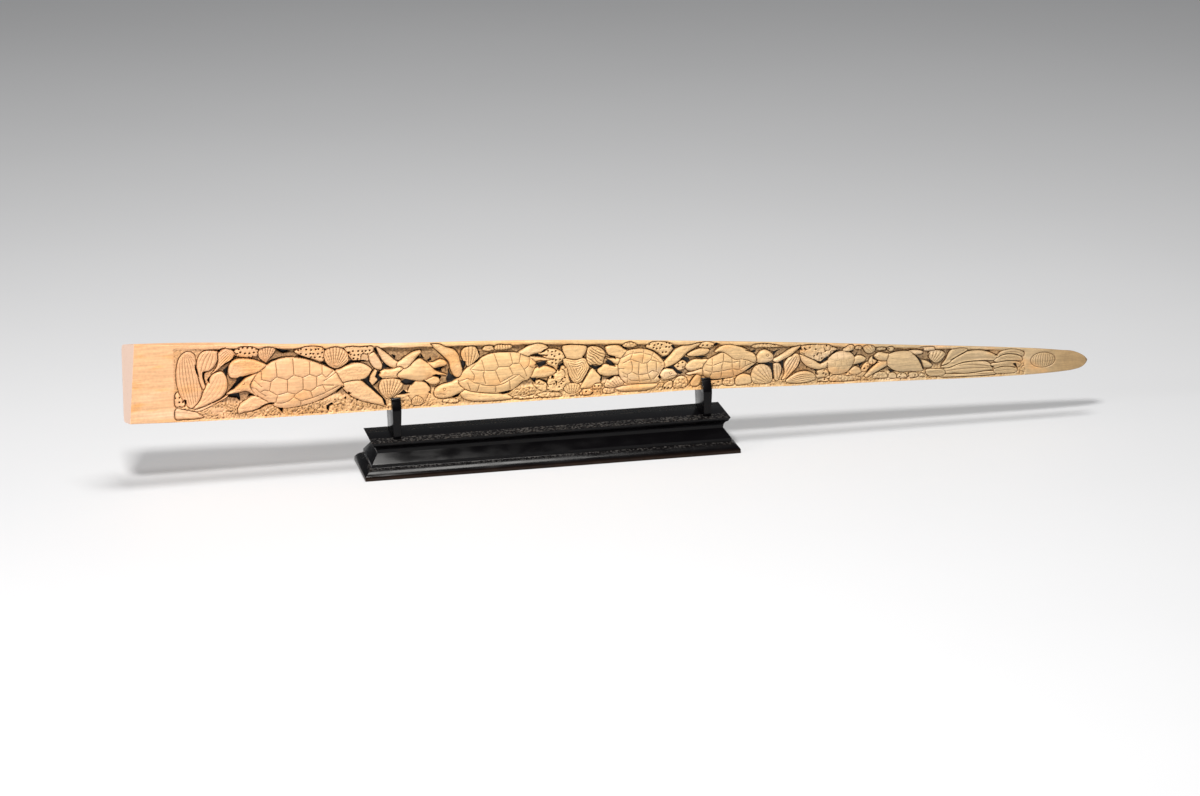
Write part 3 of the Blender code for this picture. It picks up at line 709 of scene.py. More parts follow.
@dataclass(frozen=True)
class OvalShell:
    """The small ribbed shell cut into the plain tip inside an incised ring."""

    oval: Oval
    ring: float = 1.1

    def carve(self, relief: Relief) -> None:
        """Cut the ring and the arcs across the shell."""
        outline = self.oval.outline()
        span = relief.window(outline)
        x, y = relief.along[span], relief.up[span]
        inset = inset_distance(x, y, outline)
        along, across = self.oval.local(x, y)
        bow = along * (1 + 0.006 * across**2)
        arcs = furrows(bow / 2.7, 2)
        sunk = 0.42 * arcs * ease(inset / 1.5) + 0.30 * ease(inset / 0.6) * (1 - ease(inset / 4))
        relief.height[span] -= sunk
        relief.score(span, inset + 0.4, 0.80, self.ring * 0.6)


# ==================================================================== the carving's figures
# Points are along and up, in millimetres.  The first table holds the deep gaps between the figures.
OPENINGS: tuple[tuple[Point, ...], ...] = (
    ((63.2, 58), (65, 53), (66.6, 45), (64.6, 48), (63.4, 53)),
    ((86, 71.6), (90, 74), (94, 74.6), (90, 72.2), (87, 69)),
    ((102.4, 62), (104.6, 66), (103, 69), (105, 64.6)),
    ((88, 54.4), (94, 58.2), (101, 62.6), (106, 64), (100, 60), (94, 56)),
    ((70.2, 45), (70.4, 49.6), (74, 50.4), (76.6, 50.6), (72.4, 48), (72, 43), (73.6, 36), (72.4, 36)),
    ((74.8, 41.4), (79, 46), (77.4, 42), (76.6, 38)),
    ((91, 50), (92.4, 48), (94.6, 42.6), (96, 50), (97, 55)),
    ((51, 22), (53, 21.4), (53.4, 17), (51.4, 14.8), (52, 18)),
    (
        (94.6, 27), (100, 33), (104.4, 38.6), (104, 41.4), (107.4, 43.6), (112, 43), (120, 44.6), (113, 41.2),
        (107.6, 36), (101, 30),
    ),
    (
        (94, 22.6), (98, 25), (103, 26.2), (106.4, 25.4), (107.6, 20.6), (107, 17.4), (104, 20.4),
        (98.6, 21.4),
    ),
    ((114, 21), (117, 24.6), (122, 22.6), (118, 22.4)),
    ((119, 6.8), (125, 9.2), (130, 12.4), (135, 14.2), (141, 14.6), (141, 12.4), (134, 12.4), (127, 8.6)),
    ((144.6, 8.8), (150, 8), (149.4, 3), (147.6, 5)),
    ((134, 55), (139.4, 58.6), (146, 60.6), (152, 61.6), (146, 58.8), (139, 56.4)),
    ((143, 71), (148, 70.4), (154, 68.6), (160, 66.6), (152, 64.6), (148.6, 66.4)),
    ((163, 61.4), (169, 61.6), (176, 59.4), (184, 56.6), (178, 57.4), (169, 60)),
    ((188, 54.4), (193, 53.4), (196, 50), (199, 48), (192, 51)),
    (
        (202.6, 45.4), (208, 47), (214.4, 49), (218.6, 53), (224, 53.6), (232, 53), (237, 51.6), (229, 50.8),
        (221, 50.6), (215, 48.4), (208, 45),
    ),
    ((215.6, 63), (219, 62.4), (218, 60)),
    ((211.6, 28), (211, 26.4), (205, 22.6), (204, 19.4), (207, 21.6), (212, 26)),
    ((216, 21), (219, 19.6), (217, 17.4)),
    ((211.6, 14.6), (214, 16), (214, 12.6)),
    ((224, 13), (226.4, 12.6), (225, 10)),
    ((194, 8), (199, 10.6), (201, 8.6), (197, 6.6), (196, 2), (194, 4)),
    (
        (229, 32.8), (234, 34), (237.6, 37), (240, 41.6), (243, 41.6), (239, 36), (238, 30), (242, 23.6),
        (248, 17), (254, 9), (255, 3), (253, 4), (251, 11), (244, 17.6), (237.4, 24.6), (233, 29),
    ),
    (
        (246, 40.6), (249.4, 38.6), (247.6, 35.4), (251.6, 32), (246.4, 27.4), (241, 24.6), (243.4, 28),
        (246.4, 31.4), (244, 35),
    ),
    ((253, 49.4), (256.6, 45.4), (261, 43), (252, 42.2), (250.6, 43)),
    ((243.4, 63.6), (245, 66), (248, 58), (246.4, 57.6)),
    ((250, 51.4), (252.6, 49), (248.6, 57)),
    ((261, 56.8), (265.4, 55.2), (264.6, 51.2), (262.8, 53.4)),
    ((269.6, 27.6), (275, 29.8), (285.6, 27.8), (283, 25), (281, 23), (274, 23.4)),
    ((266, 14), (273, 18.8), (275, 16.4), (278.4, 15.4), (274, 13.8)),
    ((284.6, 49.4), (288.4, 53.8), (290.6, 51.6), (291, 55.6), (294.6, 50), (290, 51.4)),
    ((296.6, 47.8), (301, 51.4), (302, 48), (299, 46.8)),
    ((304.6, 39.6), (310, 39.8), (316.6, 41.8), (311.6, 38), (312.4, 35.2), (307, 37)),
    ((302, 32), (306, 33.4), (312, 30.6), (310, 26.6), (308.6, 29.6)),
    ((318.6, 39.4), (320.8, 33), (327, 27.6), (322.6, 24.4), (317, 23), (316.6, 28), (318.4, 32)),
    ((293, 28.4), (298.6, 24), (300, 19.4), (297.4, 22.6)),
    ((298, 15), (300.6, 17), (300, 13)),
    ((321.6, 8.4), (325, 10.4), (331, 12.6), (328.4, 8), (324, 7)),
    ((331.8, 46), (336.4, 45.4), (336.8, 41), (334.4, 35.4), (333.4, 38)),
    ((343, 41.4), (347, 45.6), (352, 47), (348.4, 43.4)),
    ((348.6, 58), (351.4, 53), (351.6, 49.6), (349.6, 53)),
    ((368.6, 9.4), (376, 10.8), (385, 12), (381, 8.6), (375, 7.6)),
    ((402.6, 47.6), (410, 48), (421, 46.8), (411, 45)),
    ((413, 49), (417, 52.4), (422, 54.4), (418, 50.4)),
    ((407.4, 37), (411, 38.6), (419.4, 40.8), (419.6, 35.8), (412, 33.2), (411, 35.8)),
    ((402.8, 23.6), (409.6, 23), (408, 17.2), (404.6, 20.4)),
    ((424.4, 21.4), (427, 21), (427.6, 24), (425, 24.6)),
    ((409.6, 22.8), (415, 21), (420, 19), (421.4, 13), (419.4, 16.6), (414, 20)),
    ((432, 28.6), (432.6, 34.6), (436.6, 37), (439, 33.8), (435.4, 33.6), (433.4, 29)),
    ((428.8, 18.6), (430.2, 18), (429.8, 14)),
    ((460.6, 21), (463.4, 26), (465.6, 31), (466.6, 31.4), (462, 22), (457, 14.6)),
    ((457, 43.4), (460.4, 43), (458.6, 40.4)),
    ((464.6, 31.4), (466.6, 32.8), (471, 31), (476, 31.8), (478, 31), (472.4, 27), (470, 27.4)),
    ((475.4, 17), (477.4, 22.4), (478, 17), (476.6, 13.6)),
    ((480.6, 17.4), (486, 18.4), (491.6, 20.8), (489.6, 18), (485.6, 15.6)),
    ((481, 34.6), (484, 37.6), (488, 35), (491.6, 29.8), (486, 30.6)),
    ((481, 43.4), (485, 42.4), (491, 40.6), (492, 37.6), (486, 39.8)),
    ((496.6, 52.8), (500.6, 49.8), (506.6, 46.8), (502, 46.6), (498, 50)),
    ((539, 35), (543, 36.8), (548.4, 37.6), (543.4, 32.2)),
    ((549.6, 48), (552, 49), (554.8, 44.4), (553, 43)),
    (
        (543.6, 24.4), (547, 25.8), (552, 26.2), (557.6, 20.4), (563.4, 18), (560, 15.6), (556, 17.4),
        (552, 22),
    ),
    ((559.6, 33), (564, 35), (568.6, 33.4), (570, 29.8), (567, 27.4), (564, 30.4)),
    ((536, 16), (538, 17), (540, 13), (538, 12.4)),
    ((574, 33.6), (580, 35), (590, 33.6), (583, 31.8)),
    ((568, 4), (571.4, 9), (577, 16), (574, 14), (569.6, 9)),
    ((594, 45.4), (596.6, 48.4), (601, 46.6), (596, 44)),
    ((628, 39.4), (634, 37.6), (640, 39), (639, 35.4), (634.6, 36.4)),
    ((654.6, 38.6), (657.6, 36.4), (662, 37.6), (668, 39.4), (661.6, 35.6), (658.6, 31.4), (658, 34)),
    ((641.6, 24.8), (636, 22.4), (628, 16), (633, 17), (640, 23)),
    ((590, 9.2), (597, 9), (606, 9.8), (604.6, 6), (603.8, 8.4), (592, 7.8)),
    (
        (644.6, 24.8), (651, 25), (658, 24.2), (658.4, 16), (659.2, 6.2), (657.4, 6.6), (656.4, 14),
        (655, 20), (651, 21.6),
    ),
    ((663.6, 25.6), (669.4, 26.6), (669, 19), (667, 11.4), (665, 9), (666.8, 18), (666, 22.6)),
    ((670, 28), (677, 32.2), (684, 38), (687, 41.4), (688.4, 37), (684, 36.6), (678, 31)),
    ((685.2, 25), (687.2, 24), (686.4, 21), (680, 13.6), (673.4, 8.8), (681, 16.6), (685, 22)),
    ((693, 18.6), (695, 18.4), (694.4, 16)),
    ((701, 15.6), (704, 15), (711, 16.4), (704.4, 13.4), (705, 9.6), (703, 10), (703, 13.4)),
    (
        (701.4, 26.4), (705, 24.4), (709, 24), (712.6, 27.6), (716.6, 29), (716.4, 24.6), (711, 22.2),
        (708, 20.8),
    ),
    ((690, 40), (693, 37.4), (691, 38)),
    ((717, 30.6), (725, 35.2), (732, 36), (724, 32.6)),
    ((736, 33), (743, 35), (743.6, 32.6)),
    ((744, 26.4), (746, 30), (749.4, 34), (747, 28)),
    ((731.6, 9.8), (738, 11.4), (736.4, 9.2)),
    ((742, 15.6), (746, 19.4), (752, 20), (755, 22), (753.4, 19), (750.6, 14.4), (749.4, 18), (745, 17.6)),
    ((717, 11.6), (719.4, 11.4), (718, 7.6)),
    ((753, 5.4), (760, 12.4), (765.4, 17.6), (769.8, 21.8), (770.4, 20), (764.6, 15.4), (759, 10)),
    ((764.4, 8), (770, 10.8), (776, 14), (780.6, 16.8), (778.6, 13.4), (771, 10)),
    ((763.4, 26.4), (766.4, 26), (768.4, 22), (765, 23.4)),
    ((780, 13.4), (784, 7.6), (790, 9.4), (785, 11)),
    (
        (807, 28), (812, 25), (817, 20.4), (819, 14), (821, 9.6), (818.6, 10.4), (816.4, 16), (813, 22),
        (809.6, 26),
    ),
    ((820, 21.6), (826, 20.6), (829.8, 15.6), (827.4, 16.6), (824, 19.6)),
    ((823.8, 22), (824.8, 28.4), (825.4, 28), (824.8, 22)),
    ((848, 19.4), (857, 24.4), (867, 29.8), (866, 28), (857, 23.2)),
    ((884, 28.6), (892, 28.4), (891, 26.8), (886, 27.6)),
    ((896.6, 22.4), (899.6, 24), (899.6, 21.6)),
    ((916.6, 12), (919.4, 12.6), (920.6, 10.4), (922, 6.2), (919, 9)),
    ((891.6, 11.4), (896, 10.4), (894.6, 8.6)),
)


def strewn(stones: tuple[tuple[Point, ...], ...], *skins: Skin) -> tuple[Lump, ...]:
    """Small stones on the sea floor, with the skins taken in turn."""
    low = {"edge": 0.66, "top": 0.34, "shoulder": 2.0}
    return tuple(Lump(Drawn(corners), skins[k % len(skins)], **low) for k, corners in enumerate(stones))


# The coral and leaves beside the plain panel, and the corals and shells over the first turtle.
BUTT_LEAVES = (
    Lump(Drawn((
        (42, 15), (41, 21), (42, 28), (45, 30.5), (48, 28), (52, 22), (53, 16), (48, 14),
    )), Skin.PORED),
    Lump(Drawn((
        (102, 66), (104, 72), (109, 75), (116, 75), (122, 74), (127, 70), (125, 64), (115, 63),
    )), Skin.PORED),
    Lump(Drawn((
        (163, 66), (168, 70), (176, 72), (185, 71.5), (192, 69), (193.5, 62), (191, 54.5), (182, 57),
        (172, 61),
    )), Skin.PORED),
    Lump(Drawn((
        (213, 67), (220, 69), (229, 68), (241, 68), (243, 63), (239, 57), (237, 52), (230, 52.5), (221, 54),
    )), Skin.PORED),
    Lump(Drawn(((230, 59), (234, 60), (237, 58), (236.5, 53), (230.5, 52))), Skin.SMOOTH, 0.8, 0.62, 1.4),
    Plant(Drawn((
        (57, 12.5), (47, 27), (43.6, 44), (45.5, 61), (51, 70), (58, 72), (63.5, 67), (64.5, 54), (67, 40),
        (69, 30), (66, 20),
    )), Blade((61, 13), (53, 72), 22, 0.0, 0.5, 0.6, 0.5), 3.5),
    Plant(Drawn((
        (70, 32), (66.5, 42), (64.8, 54), (66, 64), (70, 70), (77, 72.5), (86, 71), (86, 71), (85.6, 62),
        (82, 55), (76, 50.5), (71.5, 50), (70.5, 44), (73, 34),
    )), Blade((70, 38), (81, 73), 19, 2.0, 0.6, 0.5, 0.6), 2.5),
    Plant(Drawn((
        (79, 47), (84, 53), (86.4, 60), (86.6, 69), (90, 72.6), (97, 73.5), (102, 70), (102.5, 66),
        (99.5, 61), (93, 56.5), (86, 52),
    )), Blade((80, 47), (101, 72), 15, 2.0, 0.7, 0.5, 0.6), 3.5),
    Plant(Drawn((
        (60, 12), (67, 20), (70.5, 29), (74, 36), (79, 45), (84, 48.6), (90, 49), (93.5, 44), (95, 37),
        (94, 30), (88, 22.5), (78, 17.5), (68, 13.5),
    )), Blade((62, 14), (87, 50), 22, -4.6, 0.62, 0.4, 0.6), 3.0, 0.32),
    Plant(Drawn((
        (61, 10), (70, 13), (84, 18.5), (96, 25.5), (96, 25.5), (92, 21.6), (82, 16.6), (71, 11), (64, 9),
    )), Blade((62, 10), (96, 25), 4.5, -0.6), 0.5, 0.2, 0.5, 0.3),
    Plant(Drawn((
        (42, 12.5), (50, 12), (59, 9.8), (66, 6.5), (70, 3), (62, 1.5), (50, 1.2), (41.5, 2),
    )), Blade((72, 3), (42, 9), 9, -1.0), 1.5, 0.2),
    Scallop(Drawn((
        (134, 56.5), (134, 56.5), (144.5, 70), (140, 73), (132, 73), (127, 69), (127.5, 62),
    )), Fan((133, 53), 20, 88, 70, 8)),
    Scallop(Drawn((
        (204, 46.5), (197.5, 49.5), (193.5, 55), (192.5, 62), (196, 68), (205, 69.7), (212, 66.5),
        (216.5, 60), (217, 53.5), (211, 48.5),
    )), Fan((202, 43), 26, 78, 74, 9)),
    Plant(Drawn((
        (238.5, 59), (243, 60.5), (246.5, 56.5), (250, 50), (251.5, 45), (249.5, 42), (244, 43.5),
        (240.5, 47.5), (238, 54),
    )), Blade((249, 43), (240, 61), 12, -1.0), 0.5, 0.1),
    Lump(Drawn((
        (240.5, 40), (244, 42.3), (246.5, 40.5), (247, 37), (244.5, 34), (246.5, 31.5), (242.5, 27),
        (239.5, 26), (237.5, 31), (238, 36),
    )), Skin.SMOOTH, 0.7, 0.35, 2.0),
)

# The largest turtle, swimming towards the butt.
FIRST_TURTLE = Turtle(
    shell=Drawn((
        (135, 53.5), (141, 57), (148, 59.6), (157, 60.6), (167, 59.4), (177, 56.8), (187, 52.6), (197, 47.5),
        (203.5, 43.5), (208, 36), (211.6, 29), (211.6, 29), (206, 24.4), (197, 18.6), (186, 14), (174, 10.6),
        (160, 8.2), (150, 7.8), (143, 9.8), (135, 15.5), (126, 21.5), (119.5, 28), (117.5, 34), (121, 41),
        (128, 48.5),
    )),
    head=Drawn((
        (93, 25), (93, 25), (99, 30), (105.5, 37), (112, 42), (119, 44), (128, 47), (132, 34), (126, 22),
        (119, 25), (113, 28), (105, 26.6),
    )),
    limbs=(
        Drawn((
            (98, 43), (96, 49), (98.5, 57.5), (105, 61.6), (114, 62), (123, 59.8), (134, 54.5), (142, 48),
            (132, 44.5), (121, 45.5), (112, 43.6), (104, 41.8),
        )),
        Drawn((
            (104, 8.5), (107, 14.5), (113, 18.5), (120, 22.8), (128, 26), (142, 22), (143, 13.6), (134.5, 13),
            (128, 10), (120, 7.2), (111, 6), (105.5, 4.5),
        )),
        Drawn((
            (203, 42.5), (209, 46), (216, 48.4), (223, 50.4), (230, 49.8), (237, 46.2), (240.8, 42),
            (238.5, 37), (232, 32.5), (222, 31.5), (208, 31),
        )),
        Drawn((
            (209, 29), (219, 32.5), (229, 32), (235, 26.4), (242, 20), (249, 13), (253.6, 7), (254, 2.6),
            (247, 5), (237, 8), (227, 11.6), (217, 18),
        )),
    ),
    seams=(
        (
            (129, 47.5), (129, 39.5), (138, 37), (144.5, 41.6), (154.8, 38), (161.5, 42.5), (170.5, 39.5),
            (177.5, 42.2), (184.3, 39.5), (190, 42), (194, 38), (201, 44),
        ),
        (
            (127, 26), (131.5, 28.5), (136.5, 27.5), (144.5, 22.5), (154.8, 25), (162.5, 22.5), (170.5, 27),
            (178, 24.5), (184.3, 29), (190, 30.5), (201, 29.4),
        ),
        ((138.5, 36.8), (136.5, 27.5)), ((154.8, 38), (154.8, 25)), ((170.5, 39.5), (170.5, 27)),
        ((184.3, 39.5), (184.3, 29)), ((143.6, 56), (144.5, 41.6)),
        ((161, 59), (161.5, 42.5)), ((178, 55), (177.5, 42.2)), ((190.5, 50), (190, 42)),
        ((194, 38), (201.5, 43.5)), ((191.5, 34.5), (204, 42)),
        ((144.5, 22.5), (142.5, 14.5)),
        ((162.5, 22.5), (161, 19.5), (155, 15.4), (149, 13.8), (142, 14)),
        ((161, 19.5), (168, 15), (180, 17.5), (193, 22), (206, 28)),
        ((178, 24.5), (180, 17.5)), ((190, 30.5), (194, 22.4)), ((122, 38.5), (129, 32)),
        ((119, 31), (123, 30.5), (127, 26), (133, 22)), ((168, 15), (168, 10)),
    ),
    eye=(110.5, 36.5),
    mouth=((94, 26), (102, 29.8), (107, 30.6)),
)

# The small turtle below the slanting flippers.
SECOND_TURTLE = Turtle(
    shell=Drawn((
        (268, 38.5), (273, 41), (279, 43.6), (283, 47.5), (289.5, 50.8), (295, 47.5), (301, 42.5), (306, 37),
        (314, 33.4), (317, 32), (308, 32.6), (300, 30.5), (293, 27.6), (284, 28), (275, 30.4), (269, 31.8),
        (266, 35),
    )),
    head=Drawn((
        (247.8, 36), (249, 39.6), (253.5, 41.6), (261, 41.8), (270, 44), (274, 38), (270, 32.6), (260, 32.4),
        (251, 32.6),
    )),
    limbs=(
        Drawn((
            (244, 67), (244, 67), (247.5, 66.4), (253, 61.2), (259, 55.8), (264, 51), (270, 46.5), (268, 42),
            (261, 43.4), (256, 46.6), (251.5, 51.5), (248, 58), (245.2, 62.5),
        )),
        Drawn((
            (268, 40), (265.5, 46.4), (271, 50.6), (277, 55), (284, 58.6), (290.3, 59.4), (291, 57),
            (287.5, 53.6), (283, 48.5), (279, 43.5), (275, 38.5),
        )),
        Drawn((
            (297, 45.5), (303.5, 46.2), (309, 48.6), (314.5, 47.8), (317.6, 44.4), (315.5, 42), (309, 40.8),
            (303, 39.6), (298, 41),
        )),
        Drawn((
            (292, 29.5), (296.5, 25), (301, 22.8), (306, 22.8), (309.8, 25.4), (308.6, 29.4), (304, 32.4),
            (297, 33.5),
        )),
    ),
    eye=(254, 38.4),
    mouth=((251.5, 33.8), (258, 34.6)),
    rise=9.0,
    seam_depth=0.4,
    eye_size=0.9,
)

# The shells and corals about the second turtle.
SECOND_NEIGHBOURS = (
    Scallop(Drawn((
        (248, 20.5), (248.4, 27), (252, 31.4), (261, 32), (269, 29.6), (272, 24.5), (269, 19), (263, 13),
        (256.5, 10.4), (251.5, 14.5),
    )), Fan((256, 5), 28, 82, 66, 8), 0.56, 0.22),
    Lump(Drawn((
        (278, 20), (283, 26.5), (291, 26.5), (298, 23), (300, 17), (297, 11), (294.5, 5.5), (291, 2.5),
        (283.5, 2.8), (280, 8), (277, 14),
    )), Skin.SMOOTH, 0.7, 0.3, 5.0),
    Scallop(Drawn((
        (281, 3.5), (281.5, 8.5), (286, 11.8), (291.5, 8.6), (291.5, 3.5), (286, 2),
    )), Fan((286, -2), 14, 92, 60, 5), 0.46, 0.24),
)

# The turtle with the raised, bent flipper.
THIRD_TURTLE = Turtle(
    shell=Drawn((
        (329, 27), (333.5, 34), (338.5, 38.5), (345, 43), (352, 47.3), (359, 50.6), (367, 52), (377, 52),
        (386, 51.6), (393, 49.6), (402, 45.4), (408, 40.5), (409, 36.5), (406, 31), (404, 26), (400, 21.5),
        (395, 20.5), (389, 15.5), (383, 11.8), (374, 9.7), (362, 10), (350, 11.6), (340, 13.8), (333, 17.6),
        (329, 22),
    )),
    head=Drawn((
        (303.4, 13), (305, 18), (311, 21.8), (318, 23.4), (325, 26), (331, 28), (336, 18), (330, 12),
        (325, 9.6), (318, 7.8), (310, 7.6), (305, 9.6),
    )),
    limbs=(
        Drawn((
            (300.5, 66.4), (300.5, 66.4), (309.5, 66), (317, 61.8), (325, 58), (329.4, 52), (331, 45),
            (333, 36), (332, 29), (325, 30), (321, 37), (319.2, 45), (314.5, 51), (308.5, 57), (303.5, 62),
        )),
        Drawn((
            (330, 15), (341, 14.5), (352, 11.6), (362, 10), (372, 9.2), (380, 7), (384.5, 3.6), (381, 2.2),
            (368, 1.6), (352, 2), (341, 3), (334, 5.6), (331, 9.6),
        )),
        Drawn((
            (390, 50), (395.5, 54.2), (402, 58), (409, 60.4), (416, 59.4), (421, 55.6), (421, 52.6),
            (414, 49.8), (406, 48.4), (398, 45),
        )),
        Drawn((
            (402, 45.6), (411, 44.8), (420, 43.2), (427, 41.8), (427, 41.8), (419, 40.8), (411, 41),
            (404, 38),
        )),
        Drawn((
            (402, 27), (407, 32.6), (414, 35), (421, 34.4), (427, 31.6), (429.6, 28.6), (426, 25.4),
            (419, 23.2), (411, 23), (404, 23.4),
        )),
    ),
    seams=(
        ((346.5, 41.5), (341, 36.5), (345, 30.5), (344.4, 25), (338, 27.5), (330, 24.5)),
        (
            (353, 45), (355.6, 34.6), (366.6, 34.2), (370, 37.6), (381, 37.4), (384.4, 40), (392, 40),
            (396.4, 33),
        ),
        ((341, 36.5), (355.6, 34.6), (354, 29.5), (356.4, 20.6)), ((366, 51), (370, 37.6)),
        ((366.6, 34.2), (371.6, 21)), ((382.4, 51), (384.4, 40)), ((381, 37.4), (385, 28)),
        (
            (338, 27.5), (344.4, 22.6), (356.4, 18.8), (368, 18), (375, 19.6), (384, 24.4), (391, 28.4),
            (397, 23),
        ),
        ((366.8, 18), (367, 11.4)), ((381, 22), (382, 13.5)),
        ((350, 20), (348, 13)), ((338, 22.5), (341, 15)), ((391, 28.4), (385, 28), (371.6, 21)),
        ((403, 44.6), (401, 37), (396.4, 33), (399, 26)), ((401, 37), (407, 33)),
        ((391, 40), (393, 49)),
    ),
    eye=(314, 17.4),
    mouth=((304, 12.4), (311, 12.8), (315, 11.6)),
)

# The shells, corals and stones between the third and fourth turtles.
MIDDLE_STONES = (
    ((406, 16.5), (411, 11), (417, 8), (420.6, 11), (419, 17), (414, 20.4), (409, 20)),
    ((411, 2.4), (412, 6.6), (422, 7.4), (432, 6.4), (434.4, 2)),
    ((455, 2), (456, 6.6), (462, 8), (467, 6.4), (467.4, 2)),
    ((479, 2.4), (479, 7), (486, 7.4), (490, 5), (489, 2)),
    ((386, 2), (388, 5.4), (400, 5.8), (409, 5), (409.6, 1.8)),
    ((313, 3), (314, 6.6), (322, 6.8), (328, 5), (327, 2)),
)
MIDDLE_ROCKS = (
    *strewn(MIDDLE_STONES, Skin.CRAGGY, Skin.KNOBBED),
    Scallop(Drawn((
        (340.4, 38.2), (335, 44.5), (331.8, 52.5), (334.4, 58.4), (340, 61), (345.5, 60.6), (348.8, 56.4),
        (350.4, 50), (346, 44),
    )), Fan((339, 30), 31, 84, 42, 5), 0.56, 0.24),
    Lump(Drawn(((354, 56), (357, 60.6), (362, 61), (365.4, 58), (365, 55.4), (359, 54.6))), Skin.KNOBBED),
    Lump(Drawn((
        (366.4, 56), (367, 60.6), (371, 61.8), (377, 61), (383, 60.6), (384, 56.6), (378, 55.2), (371, 55.2),
    )), Skin.FLUTED),
    Lump(Drawn((
        (411, 49), (418, 52), (425, 52.8), (432, 51.6), (437, 47.5), (438.6, 43), (436, 40), (432, 36.6),
        (430.4, 30), (426.6, 33.6), (420.6, 37), (420.4, 41.6), (416, 45.6),
    )), Skin.PORED),
    Lump(Drawn((
        (437.4, 55.4), (445, 56), (455, 55.2), (461.4, 53), (461, 48.6), (458.4, 43.6), (456, 40.6),
        (449.6, 39.8), (441.6, 41.4), (438.6, 45.6), (436.6, 51),
    )), Skin.SMOOTH, 0.6, 0.2, 5.0),
    Lump(Drawn((
        (437, 41.4), (443, 41), (450, 39.6), (457, 41), (461, 39), (463, 34.4), (464.4, 30.6), (461, 24),
        (457, 17.4), (452, 14.8), (447, 16.4), (444, 21), (441.6, 26), (440, 31), (438, 36),
    )), Skin.BRAIN, 0.6, 0.12, 5.0),
    Lump(Drawn((
        (461.6, 44), (463, 51), (468, 53), (474, 51.4), (479, 48), (481, 43.6), (479.4, 38), (478, 33.6),
        (474.4, 32.4), (469, 33.6), (465, 33), (462, 37),
    )), Skin.RIDGED, 0.6, 0.16, 4.0),
    Lump(Drawn((
        (420.6, 9), (420.4, 16), (423, 24), (429, 27.4), (433, 31.6), (437, 33.8), (440.6, 31.4), (441.8, 27),
        (443, 20), (444, 14.6), (439, 11), (437.4, 8), (428, 7.4),
    )), Skin.CRAGGY, 0.62, 0.2, 2.4),
    Scallop(Drawn((
        (437.4, 10), (441, 14.4), (446, 15), (452, 14.2), (454.6, 10.6), (452, 6), (446, 4.2), (441, 5.2),
    )), Fan((446, -5), 20, 91, 58, 6), 0.6, 0.3),
    Lump(Drawn((
        (454.6, 9.4), (459, 17), (463, 24), (467, 29), (470, 27.4), (472.4, 24), (476, 20), (475.4, 14),
        (471, 11.4), (466, 9.4), (460, 8.8),
    )), Skin.SMOOTH, 0.6, 0.24, 4.0),
    Lump(Drawn(((467.6, 8), (468.6, 12), (473, 13.4), (477, 12), (477.4, 8.4), (473, 6.8))), Skin.PORED),
    Scallop(Drawn((
        (480, 9.6), (482, 15.4), (486, 18.4), (492, 19.2), (497.4, 17), (500.4, 12.8), (498.6, 9.4), (492, 8),
        (486, 7.4),
    )), Fan((500, 2), 22, 124, 84, 8)),
    Lump(Drawn(((499.4, 50), (501, 54.6), (507, 55.6), (512, 53.4), (514, 50.4), (508, 49))), Skin.KNOBBED),
    Lump(Drawn((
        (523.4, 48), (527, 53), (534, 54), (543, 53), (550, 50.6), (552.6, 46), (549, 41), (545, 37.6),
        (541, 37), (537, 40), (531, 44.4),
    )), Skin.PORED),
)

# The turtle swimming towards the tip.
FOURTH_TURTLE = Turtle(
    shell=Drawn((
        (495.4, 35), (498.6, 40), (503.6, 45), (510.6, 46.4), (518, 46.6), (525, 45.2), (531, 42.4),
        (537, 37.4), (541.4, 32), (543, 27), (540, 22), (537.4, 17), (538.4, 12.6), (534, 9.8), (524, 9.8),
        (512, 10), (504, 10.6), (499, 14.4), (495.4, 20.4), (494, 28),
    )),
    head=Drawn((
        (537, 14), (539, 20), (543.6, 23.4), (550, 23.2), (554, 20.4), (556.6, 16.8), (553, 13.4),
        (547, 11.8), (541, 11.6),
    )),
    limbs=(
        Drawn((
            (481, 50), (484, 52.4), (491, 53), (496, 51.4), (500, 48), (505, 44), (499, 38), (493.4, 38.6),
            (487, 41.4), (483.4, 43.6),
        )),
        Drawn((
            (480.6, 40), (480.6, 40), (487, 38.6), (494, 38.6), (499, 36), (496, 32), (490.4, 33),
            (486, 36.6),
        )),
        Drawn((
            (472.6, 26), (475.6, 30), (480.6, 32.8), (487, 31.2), (493, 31.4), (499, 28), (497, 21.4),
            (490, 20.4), (482, 20), (476, 22),
        )),
        Drawn((
            (540, 29), (543.6, 32.2), (549, 38), (554, 43.2), (561, 46.6), (570, 48), (579.6, 50),
            (580.4, 47.4), (574, 43.6), (567, 39.6), (561.4, 34.2), (556, 29.4), (550, 26.6), (543, 24.6),
        )),
        Drawn((
            (491, 6), (496, 8), (505, 9), (520, 9), (531, 8.6), (536, 8), (533, 4.6), (526, 2.4), (508, 2),
            (497, 2.8),
        )),
    ),
    seams=(
        ((499, 33), (507, 36.6), (516, 33), (519, 31.5), (524, 31.5), (528, 34.4), (534, 32.6), (540, 30)),
        ((499, 23), (503.6, 20.6), (508.4, 23), (515, 19.5), (525, 20), (529.6, 23), (537, 20)),
        ((507, 36.6), (509, 29), (508.4, 23)), ((516, 33), (515, 19.5)), ((524, 31.5), (525, 20)),
        ((534, 32.6), (534, 21.4)), ((510, 44.6), (507, 36.6)), ((521, 45), (519, 31.5)),
        ((531, 41), (528, 34.4)),
        ((503.6, 20.6), (504, 12)), ((515, 19.5), (517, 11)), ((525, 20), (529, 11)),
        ((499, 39), (506, 42), (518, 43), (528, 39.6), (536, 33.6), (540, 27)),
        ((500, 27), (495, 27)),
        ((500, 19), (508, 13.6), (520, 13), (531, 13.6), (537, 19)),
    ),
    eye=(549, 19),
    mouth=((555.6, 16.2), (550, 15.8), (546.6, 14.6)),
)

